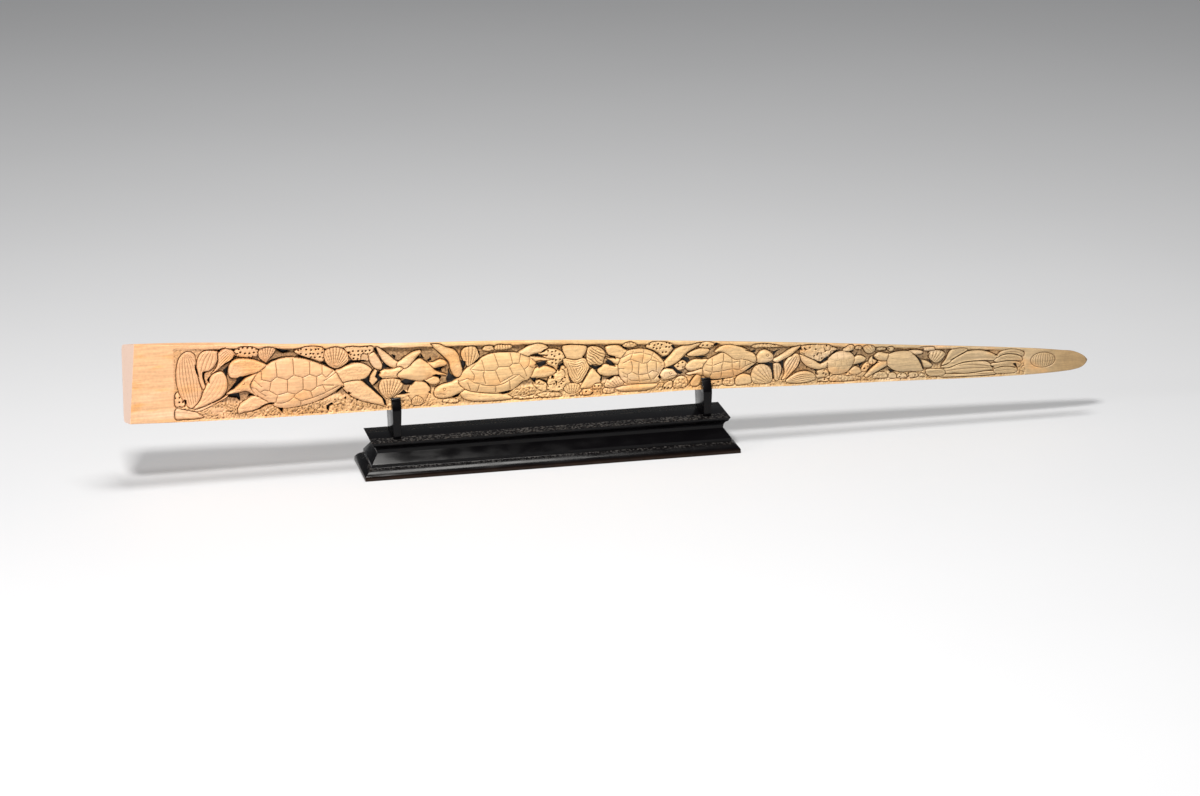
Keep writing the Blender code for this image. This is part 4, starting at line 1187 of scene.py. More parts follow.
# The turtle with one flipper laid back over its shell.
FIFTH_TURTLE = Turtle(
    shell=Drawn((
        (583, 20), (584, 25.4), (588, 29.6), (594, 33), (601, 36.4), (610, 40), (620, 41), (631, 37),
        (638.4, 32), (640, 26.4), (635, 22), (627.4, 16.8), (618, 12), (607, 9.6), (597, 8.6), (589.6, 10),
        (584, 14),
    )),
    head=Drawn((
        (638, 27), (640.6, 33.4), (644, 37.4), (649, 38.8), (654, 36.6), (657.8, 32.4), (657.6, 28),
        (653, 25.6), (645, 24.6),
    )),
    limbs=(
        Drawn((
            (564.4, 25), (569, 29.4), (575, 31.6), (582, 31), (589, 30.4), (590, 22), (581, 21), (573, 19.4),
            (567, 20.4),
        )),
        Drawn(((566, 17), (573, 18.8), (583, 21.4), (590, 16), (585, 13), (576, 15.6), (569, 15))),
        Drawn((
            (657, 27.4), (664, 31.4), (671, 36), (678, 40), (686, 43), (686.6, 40.6), (681, 35.6), (675, 31),
            (668, 27.4), (662, 24.6),
        )),
    ),
    seams=(
        ((605, 36), (604.6, 28), (603, 23.4), (603, 18), (602, 10.4)),
        ((613.6, 33), (614, 20), (616, 12)), ((593, 32), (593, 24), (592.6, 17), (590, 12)),
        ((587, 25), (593, 24), (604.6, 28), (614, 26.6), (622, 28)),
        ((586, 19), (592.6, 17), (603, 18), (614, 20), (622, 18.4), (628, 22.4), (635, 25)),
        ((622, 28), (622, 18.4)), ((628, 27.6), (628, 22.4)), ((622, 18.4), (625, 15.6)),
    ),
    eye=(651.4, 33.2),
    mouth=((657.6, 30), (652.6, 29.6)),
    over=(Drawn((
        (595.6, 38.6), (601, 43.6), (607.4, 46), (615, 45.4), (624, 42.4), (632, 38.4), (638, 33.8),
        (639.6, 28.6), (637, 26), (631, 28.4), (624, 30), (617, 29.8), (611, 34), (606, 37.4), (601, 38.8),
    )),),
)

# The stones, corals, shells and leaves from the fourth turtle to the seventh.
FAR_STONES = (
    ((541, 3), (544, 8), (550, 10.4), (551.6, 5), (548, 2)),
    ((552.4, 3), (553.6, 11), (560, 14.4), (566, 12), (567, 4), (560, 2)),
    ((570.6, 4), (571, 8.4), (575, 13.4), (578.4, 15.6), (581.4, 13), (580, 4.6), (575, 2.4)),
    ((552.6, 24.6), (557, 29), (562, 31), (566.6, 28), (564, 23), (558, 20.6)),
    ((592, 3), (592.4, 7.4), (602, 7.6), (603, 3)),
    ((605, 2.6), (605.4, 8.6), (615.6, 9.4), (616, 2.4)),
    ((618, 2.6), (618.6, 10), (626, 13.6), (634, 11), (634.6, 4), (626, 2)),
    ((703, 8), (704, 13), (708, 15), (713, 15.4), (717, 12), (717.4, 8.6), (712, 6.8), (706, 6)),
    ((706, 2.4), (708, 5.4), (715, 5.4), (718, 2.6)),
    ((719, 2.4), (720, 7.6), (728, 8.4), (738, 7.4), (748, 6), (752, 3), (740, 1.6)),
    ((739, 11), (742, 15), (746, 17), (750, 15), (752.6, 11), (748, 8.4), (742, 8.4)),
    ((752, 12), (754, 18), (759, 21), (761, 17), (757, 11)),
    ((760, 22), (763, 26.6), (767, 25), (768.6, 21), (765, 18.4), (761, 18.6)),
    ((765, 3), (767, 8), (773, 9.4), (779, 8), (780.4, 3)),
    ((782, 3), (783, 8), (789, 7), (790, 2.6)),
    ((791.4, 2.6), (792, 6.4), (796, 7.8), (800, 6), (801, 2.6)),
    ((803, 2.4), (804, 7), (812, 7), (813, 2.6)),
    ((814.6, 3.4), (817, 6.6), (821, 5.2), (820, 2.4)),
)
FAR_ROCKS = (
    *strewn(FAR_STONES, Skin.CRAGGY, Skin.KNOBBED, Skin.SMOOTH, Skin.PORED),
    Lump(Drawn((
        (566.6, 37), (572, 40.4), (580, 42.6), (588, 42.4), (590, 39.6), (586, 36.4), (578, 35), (570, 35),
    )), Skin.SMOOTH, 0.62, 0.26, 3.0),
    Lump(Drawn((
        (579.4, 45), (581, 49.6), (588, 50.4), (594, 48.8), (596.4, 45.6), (590, 43), (583, 43.4),
    )), Skin.PORED),
    Lump(Drawn((
        (634, 43), (638, 45.8), (650, 46), (660, 44.4), (668, 42), (660, 40.8), (646, 41.2), (638, 41),
    )), Skin.KNOBBED),
    Scallop(Drawn((
        (637, 4), (634.4, 11), (637, 19), (643, 23), (650, 22.4), (655, 18), (657, 11), (655, 4), (646, 2.4),
    )), Fan((658, 0), 30, 128, 80, 7), 0.6, 0.24),
    Plant(Drawn((
        (659.4, 7), (658.6, 15), (657.6, 22), (661, 24), (664.6, 23), (667, 18), (665.4, 11), (662.4, 5),
    )), Blade((662, 5), (661, 25), 9), 1.5, 1.0),
    Plant(Drawn((
        (667, 6), (670, 13), (669.4, 22), (673, 28.4), (679, 32.6), (684, 33), (686.4, 28), (684.4, 21),
        (680, 15), (674, 9),
    )), Blade((669, 6), (684, 34), 15, -1.0), 2.5, 1.0),
    Plant(Drawn((
        (671, 4), (676, 9), (684, 13), (693, 14), (701, 11), (703, 5), (692, 2), (678, 2),
    )), Blade((672, 3), (704, 8), 11, 1.2), 2.5, 0.9),
    Lump(Drawn((
        (686, 36), (688, 42), (696, 43.4), (706, 43), (716, 42.4), (722, 39), (725.4, 36.4), (719, 31.6),
        (713, 27.6), (708, 22.8), (702, 26), (695, 29), (688, 32),
    )), Skin.CRAGGY, 0.6, 0.14, 4.0),
    Lump(Drawn(((744.6, 36), (746, 39.4), (750, 39.6), (752.6, 37), (750, 35))), Skin.KNOBBED),
    Scallop(Drawn((
        (753.4, 37), (755, 39.6), (761, 40), (766, 37.4), (766.6, 33.6), (762, 30.4), (757, 31.4),
    )), Fan((768, 27), 17, 128, 80, 6)),
    Lump(Drawn(((768, 34), (770, 37), (777, 36.6), (778, 33.6), (773, 33))), Skin.KNOBBED),
    Lump(Drawn(((779.6, 34), (781, 37), (785.4, 37), (787, 33.6), (783.4, 31.4))), Skin.PORED),
    Lump(Drawn((
        (815, 35), (819, 33), (820, 30.6), (826, 30.4), (831, 31), (830, 35), (822, 35.6),
    )), Skin.SMOOTH),
    Scallop(Drawn((
        (824.4, 24), (825, 29), (831, 30.6), (838, 30), (842.4, 26.6), (840, 21.6), (836, 18), (830.4, 17.6),
    )), Fan((825, 12), 21, 58, 76, 7)),
)

# The long fronds and the curling ones that end the carving.
FROND_ROWS = (
    ((
        (839, 14.4), (843, 20), (846, 27), (850, 31.2), (857, 32.6), (864, 32), (866.4, 29.4), (860, 25.4),
        (853, 21.4), (847, 16.8),
    ), Blade((838, 13), (867, 31), 9, 2.2), 0.5),
    ((
        (838, 12.4), (845, 15), (851, 19.8), (859, 24.8), (867, 28.2), (878, 29), (888, 27), (895, 24),
        (900, 20.4), (895, 17), (886, 17.6), (874, 17.6), (863, 16.8), (853, 13.6), (845, 11.2),
    ), Blade((838, 11), (899, 19), 12, 4.4), 0.5),
    ((
        (841, 10), (849, 11.4), (857, 14.6), (867, 16.4), (878, 16.8), (888, 15.8), (893, 11.6), (894, 7.4),
        (884, 6.2), (872, 5), (862, 4.8), (852, 5.6), (844, 5),
    ), Blade((838, 7), (895, 9), 12, 2.2), 1.5),
    ((
        (836, 4), (846, 4.4), (858, 4), (872, 4.2), (886, 5.6), (896, 5), (896, 1.8), (866, 1.4), (840, 1.6),
    ), Blade((836, 3), (896, 3.4), 4, 0.2), 0.5),
    ((
        (899, 22), (903, 26), (910, 28.4), (918, 28.2), (925, 26), (928.4, 23), (927, 19.6), (920, 22.2),
        (912, 23.4), (905, 22.6), (899, 19.4),
    ), Blade((897, 19.6), (929, 20.6), 7, 5.4), 1.5),
    ((
        (895.6, 16.6), (902, 20.8), (910, 22.6), (918, 21.8), (925, 19.2), (926.4, 15), (918, 15.4),
        (908, 15.8), (900, 14.8),
    ), Blade((894, 14.6), (927, 16), 8, 3.8), 2.5),
    ((
        (892.6, 13), (900, 14.2), (909, 15), (919, 14.4), (925.4, 12), (922, 8), (913, 9.6), (904, 10),
        (897, 8.4),
    ), Blade((892, 10.4), (926, 10.4), 6.4, 1.6), 2.0),
    ((
        (896, 7.2), (905, 9.2), (914, 8.6), (921, 6), (919, 2.4), (908, 2.2), (898, 2.8),
    ), Blade((895, 5), (921, 4.4), 6.4, 1.2), 1.5),
    ((
        (822, 10), (832, 10.6), (841, 9.4), (842, 4), (832, 2.6), (824, 4),
    ), Blade((821, 6), (843, 7), 8, 0.6), 2.5),
)
FRONDS = tuple(
    Plant(Drawn(corners), blade, flutes, depth=0.85, edge=0.5, top=0.14)
    for corners, blade, flutes in FROND_ROWS
)

# The round turtle with a forked tail end.
SIXTH_TURTLE = Turtle(
    shell=Drawn((
        (715.6, 24), (719, 29), (724, 32.4), (731, 34), (738, 33), (743, 29.6), (744.4, 25), (743, 20),
        (740, 15), (736, 11.4), (729, 9.6), (722, 9.4), (718, 12), (716, 17),
    )),
    head=Drawn((
        (731.6, 34), (734, 38), (738, 41), (742, 41.2), (744.2, 38.4), (743.6, 35), (740, 32.4), (734, 32),
    )),
    limbs=(
        Drawn((
            (686, 31.6), (690, 31.2), (696, 28), (702, 25), (707, 21.6), (711, 22), (716, 25), (719, 21),
            (714, 16.6), (707, 15.4), (700, 16.6), (693, 20), (688, 25.4),
        )),
        Drawn((
            (742, 25), (746, 28), (750, 28.6), (754, 27.4), (757.2, 24.8), (755, 22), (750, 20.2),
            (745, 19.2), (741, 19),
        )),
    ),
    seams=(
        ((719, 26), (724, 24), (730, 25.6), (736, 25), (742, 26)),
        ((717.6, 19), (724, 17.4), (731, 18), (737, 17.6), (741, 19)), ((724, 24), (724, 17.4)),
        ((730, 25.6), (731, 18)),
        ((736, 25), (737, 17.6)), ((726, 32), (727, 25)), ((733, 33), (733, 25.4)),
        ((728, 17.6), (727, 10.6)), ((734, 17.8), (735, 12)),
    ),
    eye=(739.4, 38),
    mouth=((744, 37), (741, 36.4)),
    rise=10.0,
    seam_depth=0.45,
    eye_size=0.8,
)

# The last turtle, with its scutes nearly worn away.
SEVENTH_TURTLE = Turtle(
    shell=Drawn((
        (781.6, 28), (786, 29.8), (792, 31), (799, 31.2), (805, 30), (810, 26.2), (815, 21), (817.4, 15),
        (819.4, 10), (813, 8.6), (805, 9), (796, 8.8), (789, 10.2), (783, 13.6), (779.6, 18), (780, 24),
    )),
    head=Drawn((
        (765.6, 27), (769, 30.4), (773, 31), (778, 29.6), (783, 28), (784, 21), (778, 21.4), (772, 22),
        (768, 24),
    )),
    limbs=(
        Drawn((
            (755.6, 6.4), (760, 11.6), (765, 17), (770, 21.4), (777, 22.6), (784, 22), (785, 15), (780, 15.6),
            (775, 13.4), (769, 10), (763, 7), (758, 4.4),
        )),
        Drawn(((801, 30), (807, 31.8), (813, 31.6), (818.4, 29.8), (817, 27.4), (812, 26.6), (805, 26))),
        Drawn(((813, 21), (820, 20.2), (825, 18), (828.8, 14.6), (826, 12.2), (821, 12), (816, 13))),
    ),
    seams=(
        ((784, 24), (791, 22), (798, 23), (806, 21.6), (815, 19)),
        ((784, 17), (792, 15), (800, 15.6), (808, 14), (816, 14)), ((791, 22), (792, 15)),
        ((798, 23), (800, 15.6)), ((806, 21.6), (808, 14)),
    ),
    eye=(770.6, 27),
    mouth=((766, 26.6), (769.6, 25.2)),
    rise=10.0,
    seam_depth=0.25,
    eye_size=0.9,
)


@dataclass(frozen=True)
class Carving:
    """The whole relief, figure by figure, in the order in which one lies over another.

    `opening_depth` is how deep the gaps between the figures are, as a share of the bill's thickness.
    """

    opening_depth: float = 0.40
    tip_shell: OvalShell = OvalShell(Oval(centre=(949, 14), length=26, width=15.5, tilt=-3))
    figures: tuple[Plant | Scallop | Lump | Turtle, ...] = (
        *FAR_ROCKS,
        *MIDDLE_ROCKS,
        *SECOND_NEIGHBOURS,
        *BUTT_LEAVES,
        *FRONDS,
        SECOND_TURTLE,
        FIRST_TURTLE,
        THIRD_TURTLE,
        FOURTH_TURTLE,
        FIFTH_TURTLE,
        SIXTH_TURTLE,
        SEVENTH_TURTLE,
    )

    def work(self, relief: Relief) -> None:
        """Sink the ground, raise every figure from the lowest up, and cut the openings."""
        Ground().carve(relief)
        for figure in self.figures:
            figure.carve(relief)
        for corners in OPENINGS:
            relief.hollow(np.array(corners, float), self.opening_depth)
        self.tip_shell.carve(relief)
        LOG.info("carving: %d figures and %d openings", len(self.figures) + 1, len(OPENINGS))


# ==================================================================== finishes
class NodeSketch:
    """Adds shader nodes to one material in short calls."""

    def __init__(self, name: str) -> None:
        """Make the material and find its surface shader."""
        self.material = bpy.data.materials.new(name)
        self.material.use_nodes = True
        self.tree = self.material.node_tree
        self.surface = self.tree.nodes["Principled BSDF"]

    def add(self, kind: str, inputs: dict | None = None, **settings) -> bpy.types.Node:
        """Add a node.

        Args:
            kind: the node's type.
            inputs: values or output sockets for its inputs, by name or number.
            **settings: its own properties.

        Returns:
            The node.
        """
        node = self.tree.nodes.new(kind)
        for key, value in settings.items():
            setattr(node, key, value)
        for key, value in (inputs or {}).items():
            self.feed(node, key, value)
        return node

    def feed(self, node: bpy.types.Node, key: str | int, value) -> None:
        """Set one input to a value, or link it to an output socket."""
        if isinstance(value, Socket):
            self.tree.links.new(value, node.inputs[key])
        else:
            node.inputs[key].default_value = value

    def place(self, scale: tuple[float, float, float] = (1, 1, 1)) -> Socket:
        """The piece's own coordinates in metres, stretched by a scale."""
        coords = self.add("ShaderNodeTexCoord").outputs["Object"]
        return self.add("ShaderNodeMapping", {"Vector": coords, "Scale": scale}).outputs[0]

    def noise(self, scale: float, stretch: tuple = (1, 1, 1), detail: float = 4.0) -> Socket:
        """A noise value over the piece's own coordinates."""
        inputs = {"Vector": self.place(stretch), "Scale": scale, "Detail": detail}
        node = self.add("ShaderNodeTexNoise", inputs)
        return node.outputs["Fac"]

    def span(self, value: Socket, low: float, high: float, start: float = 0.0, end: float = 1.0) -> Socket:
        """A value carried smoothly from one range to another, and held at its ends."""
        inputs = {"Value": value, "From Min": low, "From Max": high, "To Min": start, "To Max": end}
        return self.add("ShaderNodeMapRange", inputs, interpolation_type="SMOOTHSTEP").outputs[0]

    def sum(self, operation: str, first, second) -> Socket:
        """One operation on two values or sockets."""
        return self.add("ShaderNodeMath", {0: first, 1: second}, operation=operation).outputs[0]

    def mix(self, amount, under, over, blend: str = "MIX") -> Socket:
        """One colour over another."""
        node = self.add("ShaderNodeMix", data_type="RGBA", blend_type=blend)
        for socket, value in ((node.inputs[0], amount), (node.inputs[6], under), (node.inputs[7], over)):
            if isinstance(value, Socket):
                self.tree.links.new(value, socket)
            else:
                socket.default_value = value
        return node.outputs[2]

    def grey(self, value: Socket) -> Socket:
        """A grey colour from one value."""
        return self.add("ShaderNodeCombineColor", {0: value, 1: value, 2: value}).outputs[0]

    def read(self, attribute: str) -> Socket:
        """A value stored on the mesh."""
        return self.add("ShaderNodeAttribute", attribute_name=attribute).outputs["Fac"]

    def bump(self, height: Socket, strength: float, distance: float, under=None) -> Socket:
        """A fine unevenness of the surface."""
        inputs = {"Height": height, "Strength": strength, "Distance": distance}
        if under is not None:
            inputs["Normal"] = under
        return self.add("ShaderNodeBump", inputs).outputs[0]


@dataclass(frozen=True)
class BoneFinish:
    """Old bone, warm at the butt and greyer at the tip, with ochre on the ground; dirt and painted shade
    darken the cuts, and painted shadow blackens the deepest openings.

    Each zone is where along the piece one colour passes into the next, in metres.
    """

    name: str = "carved_bone"
    warm: tuple = (0.83, 0.46, 0.235, 1)
    cream: tuple = (0.82, 0.52, 0.24, 1)
    grey: tuple = (0.58, 0.41, 0.22, 1)
    amber: tuple = (0.43, 0.28, 0.13, 1)
    ochre: tuple = (0.46, 0.25, 0.08, 1)
    crease_dirt_and_shade: tuple = (0.17, 0.078, 0.028, 1)
    umber_dirt_and_shade: tuple = (0.095, 0.042, 0.015, 1)
    opening_shadow_black: tuple = (0.008, 0.005, 0.004, 1)
    stain: tuple = (0.80, 0.38, 0.12, 1)
    bleach: tuple = (0.90, 0.64, 0.42, 1)
    streak: tuple = (0.80, 0.36, 0.10, 1)
    cream_zone: tuple[float, float] = (-0.36, -0.02)
    grey_zone: tuple[float, float] = (0.05, 0.42)
    amber_zone: tuple[float, float] = (0.50, 0.56)
    streak_zone: tuple[float, float] = (-0.365, -0.395)
    roughness: float = 0.48

    def body(self, sketch: NodeSketch) -> Socket:
        """The bone's own colour with its lengthwise grain and stains."""
        x = sketch.add("ShaderNodeSeparateXYZ", {0: sketch.place()}).outputs[0]
        tone = sketch.mix(sketch.span(x, *self.cream_zone), self.warm, self.cream)
        tone = sketch.mix(sketch.span(x, *self.grey_zone), tone, self.grey)
        tone = sketch.mix(sketch.span(x, *self.amber_zone), tone, self.amber)
        stain = sketch.span(sketch.noise(14.0, (1, 1, 2.6), 3.0), 0.52, 0.68)
        tone = sketch.mix(sketch.sum("MULTIPLY", stain, 0.6), tone, self.stain)
        pale = sketch.span(sketch.noise(9.0, (1, 1, 3.5), 2.0), 0.55, 0.75)
        tone = sketch.mix(sketch.sum("MULTIPLY", pale, 0.55), tone, self.bleach)
        streaks = sketch.span(sketch.noise(22.0, (0.9, 3.2, 3.2), 4.0), 0.50, 0.64)
        streaks = sketch.sum("MULTIPLY", streaks, sketch.span(x, *self.streak_zone, 0.0, 0.75))
        tone = sketch.mix(streaks, tone, self.streak)
        lines = sketch.span(sketch.noise(60.0, (0.6, 9.0, 9.0), 3.0), 0.35, 0.65, 0.86, 1.05)
        mottle = sketch.span(sketch.noise(330.0), 0.35, 0.65, 0.94, 1.05)
        lines = sketch.sum("MULTIPLY", lines, mottle)
        return sketch.mix(1.0, tone, sketch.grey(lines), "MULTIPLY")

    def material(self) -> bpy.types.Material:
        """Build the material."""
        sketch = NodeSketch(self.name)
        tone = self.body(sketch)
        blotch = sketch.noise(180.0)
        ochre = sketch.sum("MULTIPLY", sketch.read("ochre"), sketch.span(blotch, 0.25, 0.6, 0.55, 0.95))
        tone = sketch.mix(ochre, tone, self.ochre)
        # Dirt and painted shade: the deeper the ground lies, the darker brown it is painted.
        sunk = sketch.span(sketch.read("recess"), 0.70, 1.12, 0.0, 0.62)
        tone = sketch.mix(sunk, tone, self.umber_dirt_and_shade)
        # Painted shade with dirt: brown in creases and along the cut lines, wherever the surface lies hollow
        # against its surroundings.
        tone = sketch.mix(sketch.span(sketch.read("cavity"), 0.06, 0.62, 0.0, 0.9), tone, self.crease_dirt_and_shade)
        # Painted shadow: near black in the deepest openings, where the shade falls.
        tone = sketch.mix(sketch.span(sketch.read("recess"), 1.04, 1.30), tone, self.opening_shadow_black)
        sketch.feed(sketch.surface, "Base Color", tone)
        rough = sketch.span(sketch.noise(120.0), 0.3, 0.7, self.roughness - 0.08, self.roughness + 0.12)
        sketch.feed(sketch.surface, "Roughness", rough)
        fine = sketch.bump(sketch.noise(260.0, (0.35, 1, 3.0), 5.0), 0.25, 0.0004)
        sketch.feed(sketch.surface, "Normal", sketch.bump(sketch.noise(900.0), 0.2, 0.0002, fine))
        return sketch.material


@dataclass(frozen=True)
class SawnFinish:
    """The sawn end: chalky and paler than the polished bone, with saw marks."""

    name: str = "sawn_bone"
    colour: tuple = (0.85, 0.62, 0.50, 1)
    core: tuple = (0.62, 0.42, 0.30, 1)

    def material(self) -> bpy.types.Material:
        """Build the material."""
        sketch = NodeSketch(self.name)
        pores = sketch.span(sketch.noise(700.0), 0.58, 0.72)
        tone = sketch.mix(sketch.sum("MULTIPLY", pores, 0.5), self.colour, self.core)
        sketch.feed(sketch.surface, "Base Color", tone)
        sketch.feed(sketch.surface, "Roughness", 0.75)
        marks = sketch.noise(420.0, (1, 1, 0.06), 2.0)
        sketch.feed(sketch.surface, "Normal", sketch.bump(marks, 0.4, 0.0004))
        return sketch.material


@dataclass(frozen=True)
class LacquerFinish:
    """Black lacquer on wood, glossy, with dust on what faces up and worn brown edges low down.

    `clean_half_width` is half the dust-free strip along the middle and `worn_zone` the heights between which
    the wear comes in, both in metres.  `level` says how far up a surface has to face to hold dust.
    """

    name: str = "black_lacquer"
    black: tuple = (0.0018, 0.0015, 0.0019, 1)
    brown: tuple = (0.030, 0.014, 0.006, 1)
    dust: tuple = (0.16, 0.15, 0.14, 1)
    clean_half_width: float = 0.0095
    worn_zone: tuple[float, float] = (0.006, 0.001)
    level: tuple[float, float] = (0.80, 0.97)
    dustiness: float = 0.45
    polish: tuple[float, float] = (0.13, 0.26)
    refraction: float = 1.25

    def material(self) -> bpy.types.Material:
        """Build the material."""
        sketch = NodeSketch(self.name)
        parts = sketch.add("ShaderNodeSeparateXYZ", {0: sketch.place()})
        normal = sketch.add("ShaderNodeNewGeometry").outputs["Normal"]
        facing = sketch.add("ShaderNodeSeparateXYZ", {0: normal})
        upward = sketch.span(facing.outputs[2], *self.level)
        off_middle = sketch.sum("ABSOLUTE", parts.outputs[1], 0.0)
        sides = sketch.span(off_middle, self.clean_half_width, self.clean_half_width + 0.002)
        specks = sketch.span(sketch.noise(420.0, (1, 1, 1), 8.0), 0.46, 0.66, 0.05, 1.0)
        clouds = sketch.span(sketch.noise(70.0), 0.35, 0.65, 0.55, 1.0)
        level, strewn = sketch.sum("MULTIPLY", upward, sides), sketch.sum("MULTIPLY", specks, clouds)
        dusty = sketch.sum("MULTIPLY", level, strewn)
        worn = sketch.span(parts.outputs[2], *self.worn_zone)
        worn = sketch.sum("MULTIPLY", worn, sketch.noise(60.0))
        tone = sketch.mix(worn, self.black, self.brown)
        dusty = sketch.sum("MULTIPLY", dusty, self.dustiness)
        tone = sketch.mix(dusty, tone, self.dust)
        sketch.feed(sketch.surface, "Base Color", tone)
        rough = sketch.span(sketch.noise(90.0, (0.4, 1, 1)), 0.3, 0.7, *self.polish)
        sketch.feed(sketch.surface, "Roughness", sketch.sum("ADD", rough, dusty))
        sketch.feed(sketch.surface, "IOR", self.refraction)
        waves = sketch.bump(sketch.noise(45.0, (0.25, 1, 1), 3.0), 0.12, 0.0008)
        sketch.feed(sketch.surface, "Normal", sketch.bump(sketch.noise(600.0), 0.06, 0.0002, waves))
        return sketch.material


@dataclass(frozen=True)
class PaperFinish:
    """The plain pale floor."""

    name: str = "pale_floor"
    colour: tuple = (0.62, 0.63, 0.65, 1)

    def material(self) -> bpy.types.Material:
        """Build the material."""
        sketch = NodeSketch(self.name)
        shade = sketch.span(sketch.noise(1.5), 0.2, 0.8, 0.97, 1.0)
        tone = sketch.mix(1.0, self.colour, sketch.grey(shade), "MULTIPLY")
        sketch.feed(sketch.surface, "Base Color", tone)
        sketch.feed(sketch.surface, "Roughness", 0.6)
        return sketch.material


# ==================================================================== pieces
def only(obj: bpy.types.Object) -> None:
    """Make an object the only one selected, and the active one."""
    bpy.ops.object.select_all(action="DESELECT")
    obj.select_set(True)
    bpy.context.view_layer.objects.active = obj


def apply_modifiers(obj: bpy.types.Object) -> None:
    """Apply an object's modifiers in order."""
    only(obj)
    for modifier in list(obj.modifiers):
        bpy.ops.object.modifier_apply(modifier=modifier.name)


def settle(obj: bpy.types.Object, material: bpy.types.Material, node: str) -> None:
    """Give a finished piece its finish and its place in the frame.

    Args:
        obj: the piece, at the origin with its place in its mesh.
        material: its finish.
        node: the frame's node that it stands for.
    """
    if not obj.data.materials:
        obj.data.materials.append(material)
    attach(obj, "root")
    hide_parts(node)
    LOG.info("%s: %d faces", obj.name, len(obj.data.polygons))


@dataclass
class CarvedBill:
    """The bill in lengths that meet at plane cuts, each closed, carved in front and rounded behind.

    The plain panel ends at `panel_end`, with a line scored near it at `panel_line`, and the plain tip starts
    at `tip_start`.  `crack` holds the two ends of a crack in from the butt, and `arris` is how far in from
    its edges the face is rounded off.  Faces that turn by less than `smooth_below` degrees look smooth.
    """

    form: BillForm = field(default_factory=BillForm)
    spacing: float = 0.45
    rows: int = 160
    back_steps: int = 24
    lengths: int = 5
    lift: float = 0.7
    tip_round: float = 4.0
    panel_end: float = 36.0
    tip_start: float = 936.0
    crack: tuple[Point, Point] = ((0.0, 42.2), (15.0, 43.4))
    panel_line: float = 40.2
    arris: float = 0.6
    smooth_below: float = 62.0

    def tip_squeeze(self, along: Array) -> Array:
        """How much each section keeps of its size where the tip rounds over, from 1 down towards 0."""
        past = np.clip((along - (self.form.length - self.tip_round)) / self.tip_round, 0, 1)
        return np.sqrt(np.clip(1 - past**2, 0.04, 1))

    def relief(self) -> Relief:
        """The carved face."""
        relief = Relief(self.form, self.spacing, self.rows, self.lift)
        Carving().work(relief)
        x, y = relief.along, relief.rise
        plain = 1 - ease((x - self.panel_end) / 6) * ease((self.tip_start - x) / 8)
        stipple = ease((0.45 - spots(x, y, 2.4, 5.0)) / 0.35) * ease((x - 925) / 20)
        relief.height -= plain * (0.10 * stipple + 0.03 * (1 + grain(x * 0.12, y, 1.3, 8.0)))
        crack = line_distance(x, y, np.array(self.crack[:1]), np.array(self.crack[1:]))
        relief.height -= 0.35 * nick(crack, 0.35) * ease((17 - x) / 12)
        border = np.abs(x - self.panel_line - 0.5 * grain(x, y, 9.0, 2.0))
        relief.height -= 0.30 * nick(border, 0.4) * ease((28 - y) / 20)
        arris = np.minimum(relief.rise, relief.tall - relief.rise)
        relief.height = np.minimum(relief.height, -0.35 * ease((self.arris - arris) / self.arris))
        return relief

    def build(self) -> list[bpy.types.Object]:
        """Make every length of the bill.

        Returns:
            The pieces, from the butt to the tip.
        """
        relief = self.relief()
        finer = self.form.ground_depth / relief.unit
        # recess and cavity say how deep and how hollow each point lies; the finish paints shade and dirt from
        # them.
        stored = {
            "recess": -relief.height / relief.unit,
            "cavity": np.clip((relief.softened(relief.height, 1.3) - relief.height) * finer, 0, 1.2),
            "ochre": relief.ochre,
        }
        bone, sawn = BoneFinish().material(), SawnFinish().material()
        marks = np.linspace(0, len(relief.columns) - 1, self.lengths + 1).astype(int)
        pieces = []
        for k, (first, last) in enumerate(zip(marks, marks[1:])):
            piece = self.length_of_bill(f"carved_bill_{k + 1}", relief, stored, first, last + 1)
            piece.data.materials.append(bone)
            piece.data.materials.append(sawn)
            if k == 0:
                piece.data.polygons[len(piece.data.polygons) - 2].material_index = 1
            settle(piece, bone, "bill")
            pieces.append(piece)
        return pieces

    def length_of_bill(
        self, name: str, relief: Relief, stored: dict[str, Array], first: int, last: int
    ) -> bpy.types.Object:
        """One length of the bill as a closed mesh.

        Args:
            name: the piece's name.
            relief: the carved face.
            stored: values kept on the mesh for the finish, by name.
            first: its first column on the grid.
            last: one past its last column.

        Returns:
            The new object.
        """
        columns = relief.columns[first:last]
        squeeze = self.tip_squeeze(columns)[:, None]
        face = self.form.place(relief.along[first:last], relief.rise[first:last], relief.height[first:last])
        up, height = self.form.back(columns[:, None], self.back_steps)
        back = self.form.place(np.broadcast_to(columns[:, None], up.shape), up, height)
        rings = np.concatenate((face, back), axis=1)
        middle = rings.mean(axis=1, keepdims=True)
        middle[..., 1] = 0.0
        rings = middle + (rings - middle) * (squeeze[..., None] * np.array((0, 1, 1)) + np.array((1, 0, 0)))
        count, around = rings.shape[:2]
        index = np.arange(count * around).reshape(count, around)
        here, there = index[:-1], index[1:]
        quads = np.stack((here, there, np.roll(there, -1, 1), np.roll(here, -1, 1)), -1).reshape(-1, 4)
        corners = np.concatenate((quads.ravel(), index[0], index[-1][::-1]))
        sizes = np.concatenate((np.full(len(quads), 4), (around, around)))
        mesh = bpy.data.meshes.new(name)
        mesh.vertices.add(count * around)
        mesh.vertices.foreach_set("co", rings.astype(np.float32).ravel())
        mesh.loops.add(len(corners))
        mesh.loops.foreach_set("vertex_index", corners.astype(np.int32))
        mesh.polygons.add(len(sizes))
        starts = np.concatenate(((0,), np.cumsum(sizes)[:-1]))
        mesh.polygons.foreach_set("loop_start", starts.astype(np.int32))
        mesh.update(calc_edges=True)
        mesh.validate()
        self.store(mesh, stored, first, last, around)
        obj = bpy.data.objects.new(name, mesh)
        bpy.context.scene.collection.objects.link(obj)
        only(obj)
        bpy.ops.object.shade_smooth_by_angle(angle=math.radians(self.smooth_below))
        return obj

